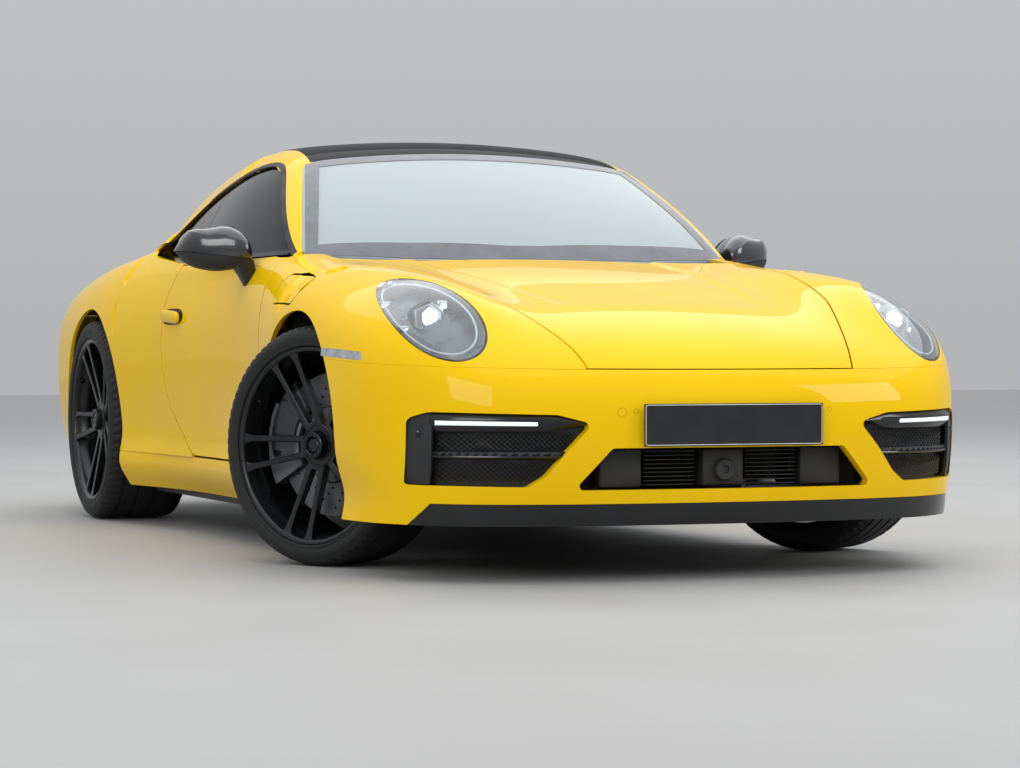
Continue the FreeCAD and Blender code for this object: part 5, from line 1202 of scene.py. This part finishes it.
front_sheet, front_edge = bare_plate("front_plate", -2269.8, -1, 357)
rear_sheet, rear_edge = bare_plate("rear_plate", 2246.2, 1, 525)
holder = block("holder", (-240, -2265, 367), (240, -2242, 458), 1.0)
dress(joined("number_plate_sheets", [front_sheet, rear_sheet, holder]), "body", "number_plate", plate_black,
    "number_plates")
dress(joined("number_plate_edges", [front_edge, rear_edge]), "body", "number_plate", plate_edge)

# Door mirrors: a swept shell over a dull base on a slanted foot, and the glass on its rear side
MIRROR_TOP = Curve((0, 915), (0.08, 945), (0.19, 971), (0.34, 988), (0.44, 990), (0.69, 981), (0.93, 957),
    (1, 920))
MIRROR_LOW = Curve((0, 880), (0.1, 866), (0.24, 858), (0.44, 851), (0.7, 857), (0.84, 868), (0.95, 892),
    (1, 912))
mirror_glass = surface("silvered mirror glass", ("#B4BABF", "#BDC3C8"), (0.01, 0.03), metallic=1.0)
dark_shell = surface("polished black mirror shell", ("#1B1C1F", "#222327"), (0.16, 0.24), (3.0, 0.01, 0.04),
                     Coat_Weight=1.0, Coat_Roughness=0.04)


# Where the mirror begins at its inner end, and how long it is; shares count from 0 there to 1 at its tip
MIRROR_X = 792
MIRROR_LENGTH = 220


def mirror_rear(share):
    """Y of the mirror's rear side."""
    return -440.0 + 50.0 * share


def mirror_head():
    rings = []
    for share in (0.0, 0.01, 0.03, 0.06, 0.1, 0.16, 0.24, 0.34, 0.44, 0.55, 0.66, 0.76, 0.85, 0.92, 0.965,
        0.99, 1.0):
        top = float(MIRROR_TOP(share))
        low = float(MIRROR_LOW(share))
        end = max(0.12, (1 - (2 * share - 1) ** 6) ** 0.5)
        middle = (top + low) / 2
        tall = (top - low) / 2 * (0.55 + 0.45 * end)
        rear = mirror_rear(share)
        deep = (150.0 - 62.0 * share ** 1.5) * end
        rings.append([(MIRROR_X + MIRROR_LENGTH * share, rear - deep * (0.5 - 0.5 * across),
            middle + tall * up)
                      for across, up in rounded_ring(36, 0.8)])
    return ring_loft("mirror_head", rings)


def cut_away(made, place, normal):
    """Removes what lies beyond a plane through a place (mm), and closes the cut."""
    work = bmesh.new()
    work.from_mesh(made.data)
    everything = work.verts[:] + work.edges[:] + work.faces[:]
    cut = bmesh.ops.bisect_plane(work, geom=everything, plane_co=Vector(place) * MM, plane_no=normal,
                                 clear_outer=True)
    edges = [part for part in cut["geom_cut"] if isinstance(part, bmesh.types.BMEdge)]
    bmesh.ops.holes_fill(work, edges=edges)
    work.to_mesh(made.data)
    work.free()


def mirror_foot():
    rings = []
    for z, x_in, x_out, y_front, y_rear in (
            (790, 776, 812, -528, -482), (812, 780, 822, -534, -480), (840, 788, 838, -545, -472),
            (866, 792, 856, -556, -462), (886, 796, 874, -562, -452)):
        rings.append([((x_in + x_out) / 2 + (x_out - x_in) / 2 * across,
                       (y_front + y_rear) / 2 + (y_rear - y_front) / 2 * back, z)
                      for across, back in rounded_ring(24, 0.6)])
    return ring_loft("mirror_foot", rings)


def mirror_pane():
    """The glass, which stands a little proud of the rear side and leaves an edge of the shell round it."""
    edge = 9
    rows = []
    for share in spaced(0.07, 0.93, 24):
        heights = spaced(float(MIRROR_LOW(share)) + edge, float(MIRROR_TOP(share)) - edge, 10)
        x = MIRROR_X + MIRROR_LENGTH * share
        rows.append([Vector((x, mirror_rear(share) + 1.2, z)) * MM for z in heights])
    return thick_sheet("mirror_pane", rows, 2.0)


# The shell and the base part along a slanted seam; a dark core fills the gap between them
SEAM_UP = Vector((-0.13, 0.0, 1.0))
CORE_SHRINK = 0.03
shell = mirror_head()
base = copy_of(shell, "mirror_base")
cut_away(shell, (900, -500, 899.5), -SEAM_UP)
cut_away(base, (900, -500, 896), SEAM_UP)
base = joined("mirror_base", [base, mirror_foot()])
core = mirror_head()
towards_middle = Matrix.Translation(Vector((0.9, -0.5, 0.9)) * CORE_SHRINK)
core.data.transform(towards_middle @ Matrix.Scale(1 - CORE_SHRINK, 4))
mirror_models = (
    (shell, "mirror_shell_", dark_shell, 50), (base, "mirror_base_", grained_plastic, 50),
    (mirror_pane(), "mirror_pane_", mirror_glass, 30), (core, "mirror_core_", seal_rubber, 50))
for side, matrix in (("left", None), ("right", MIRROR)):
    for model, name, material, angle in mirror_models:
        made = copy_of(model, name + side, matrix)
        smoothed(made, angle)
        replaced = ["mirror_" + side] if model is shell else []
        dress(made, "door_" + side, "gloss_black", material, *replaced)
for model, _, _, _ in mirror_models:
    bpy.data.objects.remove(model)


# Brake calipers: two cheeks and a bridge over the rim of each disc, behind the axle and a little above it
caliper_paint = surface("black painted caliper", ("#141517", "#1B1C1E"), (0.22, 0.3), (3.0, 0.05, 0.15),
                        Coat_Weight=0.8, Coat_Roughness=0.05)
# In degrees: half its spread round the axle, and how far it stands above the axle's level
CALIPER_HALF_ANGLE = 33.0
CALIPER_LIFT = 22.0
# In millimetres: the cheeks' lower radius, and how far the caliper reaches past the disc
CALIPER_LOW = 124
CALIPER_OVERHANG = 18


def caliper_part(name, low_radius, high_radius, low_x, high_x, spread):
    """A bar of rectangular section bent round the axle, thinner towards its ends; sizes in mm and degrees."""
    rings = []
    for share in spaced(-1.0, 1.0, 21):
        turn = math.radians(spread * share)
        edge = 5.0 + 12.0 * abs(share) ** 6
        section = [(low_radius, low_x), (low_radius, high_x - 6), (low_radius + edge, high_x),
                   (high_radius - edge, high_x), (high_radius, high_x - 9), (high_radius, low_x)]
        rings.append([(x, r * math.cos(turn), r * math.sin(turn)) for r, x in section])
    return ring_loft(name, rings)


for end, (radius, face) in DISCS.items():
    outer = radius + CALIPER_OVERHANG
    cheek = caliper_part("cheek", CALIPER_LOW, outer, face + 2.5, face + 27, CALIPER_HALF_ANGLE)
    back = caliper_part("back", CALIPER_LOW, outer, face - 62, face - 37, CALIPER_HALF_ANGLE)
    bridge = caliper_part("bridge", radius + 4, outer, face - 38, face + 8, CALIPER_HALF_ANGLE - 6)
    model = joined("caliper", [cheek, back, bridge])
    for side, angle in (("left", CALIPER_LIFT), ("right", 180 - CALIPER_LIFT)):
        lift = Matrix.Rotation(math.radians(angle), 4, "X")
        corner = end + "_" + side
        caliper = copy_of(model, "caliper_" + corner, WHEEL_PLACES[corner] @ lift)
        smoothed(caliper, 35)
        body = "knuckle_" + side if end == "front" else "body"
        dress(caliper, body, "arm_alloy", caliper_paint)
    bpy.data.objects.remove(model)


# Door handles: a bar that stands proud of the door over a dark sheet of painted shade, where the hollow
# behind it lies
def door_handle(sign):
    rings = []
    for share in (0.0, 0.02, 0.06, 0.15, 0.3, 0.5, 0.7, 0.85, 0.94, 0.98, 1.0):
        y = 152 + 193 * share + SHIFT
        z = 714 + 10 * share
        end = (1 - abs(2 * share - 1) ** 8) ** 0.5
        tall = 4.0 + 17.0 * end
        thick = 2.5 + 7.0 * end
        skin = on_side([(y, z)], sign)[0] / MM
        out = abs(skin[0]) + 12.0 - 3.0 * share
        rings.append([(sign * (out + thick * across), y, z + tall * up) for across, up in rounded_ring(20)])
    return ring_loft("door_handle", rings)


def handle_hollow(sign):
    """A dark oval sheet of painted shade just outside the door's skin, where the hollow behind the handle
    lies in shade.
    """
    rows = []
    for share in spaced(-1.0, 1.0, 25):
        tall = 27.0 * (1 - abs(share) ** 3.5) ** 0.5
        y = 250 + SHIFT + 108 * share
        places = [(y, 719 + tall * up) for up in spaced(-1.0, 1.0, 9)]
        rows.append(on_side(places, sign, -0.4))
    return grid_sheet("handle_hollow", rows)


# Each door's handle, and the dark sheet of painted shade in the hollow behind it
for side, sign in SIDES:
    for made, name, slot, material in (
            (door_handle(sign), "handle_", "yellow_paint", yellow_paint),
            (handle_hollow(sign), "handle_hollow_", "black_plastic", seal_rubber)):
        made.name = name + side
        smoothed(made, 50)
        dress(made, "door_" + side, slot, material)


# Trims round the side windows: rubber over the glass, polished black strips along the belt
UPPER_LINE = ((-712, 898), (-520, 1022), (-300, 1155), (-110, 1208), (180, 1187), (480, 1124), (720, 1032),
    (872, 972))


def side_strip(name, places, sign, depth, wide, thick):
    """A flat strip along a smooth line through places (drawn y, z) on the cabin's side; sizes in mm."""
    along_y, along_z = (Curve(*[(i, p[k]) for i, p in enumerate(places)]) for k in (0, 1))
    steps = [(len(places) - 1) * i / 60 for i in range(61)]
    line = [(float(along_y(s)) + SHIFT, float(along_z(s))) for s in steps]
    rows = []
    for (y, z), (y2, z2) in zip(line, line[1:] + [line[-1]]):
        along = Vector((y2 - y, z2 - z)).normalized() if (y2, z2) != (y, z) else along
        across = Vector((-along.y, along.x))
        ends = [(y + across.x * t, z + across.y * t) for t in (-wide / 2, 0.0, wide / 2)]
        rows.append(on_side(ends, sign, depth, cabin))
    made = thick_sheet(name, rows, thick)
    smoothed(made, 50)
    return made


BELT_LINE = ((-690, 903), (-400, 902), (-100, 902), (150, 902), (290, 902))
REAR_BELT_LINE = ((308, 902), (450, 907), (620, 921), (790, 944))
STRIP_WIDTH = 13.0
for side, sign in SIDES:
    for name, line, depth, thick, body, material in (
            ("window_seal_", UPPER_LINE, 2.0, 5.0, "body", seal_rubber),
            ("belt_strip_", BELT_LINE, 3.0, 6.0, "door_" + side, gloss_plastic),
            ("rear_belt_strip_", REAR_BELT_LINE, 3.0, 6.0, "body", gloss_plastic)):
        strip = side_strip(name + side, line, sign, depth, STRIP_WIDTH, thick)
        dress(strip, body, "black_plastic", material)

# Windscreen: the printed band under its edge, grey as its dark print with a painted reflection of the sky on
# the glass over it, and the sensor housing at the top
SCREEN = ((-60, -838), (60, -838), (400, -808), (700, -758), (556, -296), (300, -292), (-300, -292),
    (-556, -296),
          (-700, -758), (-400, -808))
BAND_WIDTHS = (54, 54, 54, 46, 40, 46, 46, 40, 46, 54)
# The band's grey is partly its dark print and partly painted reflection of the sky
print_and_painted_reflection = surface("grey printed glass band", ("#5C5E66", "#666870"), (0.1, 0.16), (1.4, 0.01, 0.05))


# Y of the screen's middle, and half its width and length seen from above
SCREEN_MIDDLE = -560.0
SCREEN_HALF_WIDTH = 640
SCREEN_HALF_LENGTH = 270


def between(a, b, share):
    """The place that lies a share of the way from one place to another."""
    return a[0] + (b[0] - a[0]) * share, a[1] + (b[1] - a[1]) * share


def screen_band():
    """A ring on the glass, from the screen's edge towards its middle by the widths above."""
    outer = []
    inner = []
    corners = list(zip(SCREEN, BAND_WIDTHS))
    for (a, first_width), (b, last_width) in zip(corners, corners[1:] + corners[:1]):
        for k in range(16):
            x, y = between(a, b, k / 16)
            by = first_width + (last_width - first_width) * k / 16
            outer.append((x, y + SHIFT))
            inner.append((x * (1 - by / SCREEN_HALF_WIDTH),
                          SCREEN_MIDDLE + (y - SCREEN_MIDDLE) * (1 - by / SCREEN_HALF_LENGTH) + SHIFT))
    rows = []
    for share in (0.0, 0.25, 0.5, 0.75, 1.0):
        places = [between(p, q, share) for p, q in zip(outer, inner)]
        places.append(places[0])
        rows.append(on_top(places, -1.0))
    return thick_sheet("screen_band", rows, 1.0)


band = screen_band()
smoothed(band, 50)
dress(band, "body", "black_plastic", print_and_painted_reflection)
pod_base = on_top([(0.0, -360.0)], 12.0)[0] / MM
pod = block("sensor_pod", (-62, pod_base[1] - 52, pod_base[2] - 44),
    (62, pod_base[1] + 60, pod_base[2] - 12), 14.0, 4)
pod.data.transform(Matrix.Translation(pod_base * MM) @ Matrix.Rotation(math.radians(28), 4, "X")
                   @ Matrix.Translation(-Vector(pod_base) * MM))
smoothed(pod, 40)
dress(pod, "body", "black_plastic", grained_plastic)


# Seats: leather pads with sewn channels, softened from the plain CAD seats. All in millimetres: the
# distance, depth and width of the channels, and how far the leather stands out between them
CHANNEL_PITCH = 46.0
CHANNEL_DEPTH = 5.0
CHANNEL_WIDTH = 7.0
PAD_RISE = 1.5


def soft_seat(node, name, channels):
    """A padded copy of the CAD seats; channels are the sewn part's middle |x|, half width and lowest z."""
    made = copy_of(frame["nodes"][node], name)
    with_modifier(made, "REMESH", mode="VOXEL", voxel_size=0.010)
    with_modifier(made, "SMOOTH", factor=0.6, iterations=14)
    outward_faces(made)
    places = read_mesh(made.data.vertices, "co")
    outward = np.array([v.normal[:] for v in made.data.vertices])
    middle, half, lowest = channels
    off_middle = np.abs(places[:, 0]) * 1000.0 - middle
    stripe = off_middle / CHANNEL_PITCH
    groove = np.exp(-((stripe - np.round(stripe)) * CHANNEL_PITCH / CHANNEL_WIDTH) ** 2)
    facing = np.clip(np.maximum(outward[:, 2], -outward[:, 1]) * 2 - 0.6, 0, 1)
    inside = (np.abs(off_middle / half) < 1) & (places[:, 2] * 1000.0 > lowest)
    puff = np.where(inside, facing * (PAD_RISE - CHANNEL_DEPTH * groove), 0.0)
    places += outward * (puff / 1000.0)[:, None]
    made.data.vertices.foreach_set("co", places.ravel())
    smoothed(made, 60)
    dress(made, "body", "seat_leather", seat_leather, node)


soft_seat("front_seats", "front_seat_pads", (370.0, 140.0, 300.0))
soft_seat("rear_seats", "rear_seat_pads", (350.0, 150.0, 300.0))

# Floor, light and camera
bpy.ops.mesh.primitive_plane_add(size=60.0, location=(0.0, 0.0, 0.0))
floor = bpy.context.object
floor.name = "studio_floor"
give(floor, floor_paint)

# The sky is grey at the horizon and bright from a little over half way up
SKY_STRENGTH = 0.92
world = bpy.data.worlds.new("soft studio")
bpy.context.scene.world = world
world.use_nodes = True
world.node_tree.nodes.clear()
sky = world.node_tree
where = add(sky, "ShaderNodeTexCoord")
split = add(sky, "ShaderNodeSeparateXYZ", {"Vector": (where, "Generated")})
tone = ramp_between(sky, split, "Z", (0.0, 0.6), [linear("#B9BBBD"), linear("#F4F7FA")])
lit = add(sky, "ShaderNodeBackground", {"Color": (tone, "Color")}, {"Strength": SKY_STRENGTH})
add(sky, "ShaderNodeOutputWorld", {"Surface": (lit, "Background")})


def softbox(name, place, target, width, height, power):
    """A rectangular lamp that faces a target; sizes in metres, power in watts."""
    data = bpy.data.lights.new(name, "AREA")
    data.shape = "RECTANGLE"
    data.size = width
    data.size_y = height
    data.energy = power
    lamp = linked(name, data)
    lamp.location = place
    lamp.rotation_euler = (Vector(target) - Vector(place)).to_track_quat("-Z", "Y").to_euler()


softbox("overhead", (2.5, 1.0, 6.0), (2.5, 1.0, 0.0), 12.0, 13.0, 520.0)
softbox("front left fill", (7.0, -7.0, 4.0), (0.0, -0.5, 0.6), 4.0, 3.0, 200.0)
softbox("front right fill", (-7.5, -8.0, 4.5), (0.0, -0.5, 0.6), 5.0, 4.0, 260.0)

# The photo's camera: its place in metres, its angles in degrees, and its focal length in the photo's pixels
CAMERA_PLACE = (-3.3198, -9.0770, 0.605)
CAMERA_YAW = 21.53
CAMERA_PITCH = -0.656
FOCAL_PIXELS = 2882.1
PHOTO_WIDTH = 1020.0
SENSOR = 36.0
camera_data = bpy.data.cameras.new("camera")
camera_data.sensor_width = SENSOR
camera_data.lens = FOCAL_PIXELS / PHOTO_WIDTH * SENSOR
camera = linked("camera", camera_data)
camera.location = CAMERA_PLACE
camera.rotation_euler = (math.radians(90.0 + CAMERA_PITCH), 0.0, math.radians(-CAMERA_YAW))
bpy.context.scene.camera = camera
bpy.context.scene.view_settings.view_transform = "Standard"
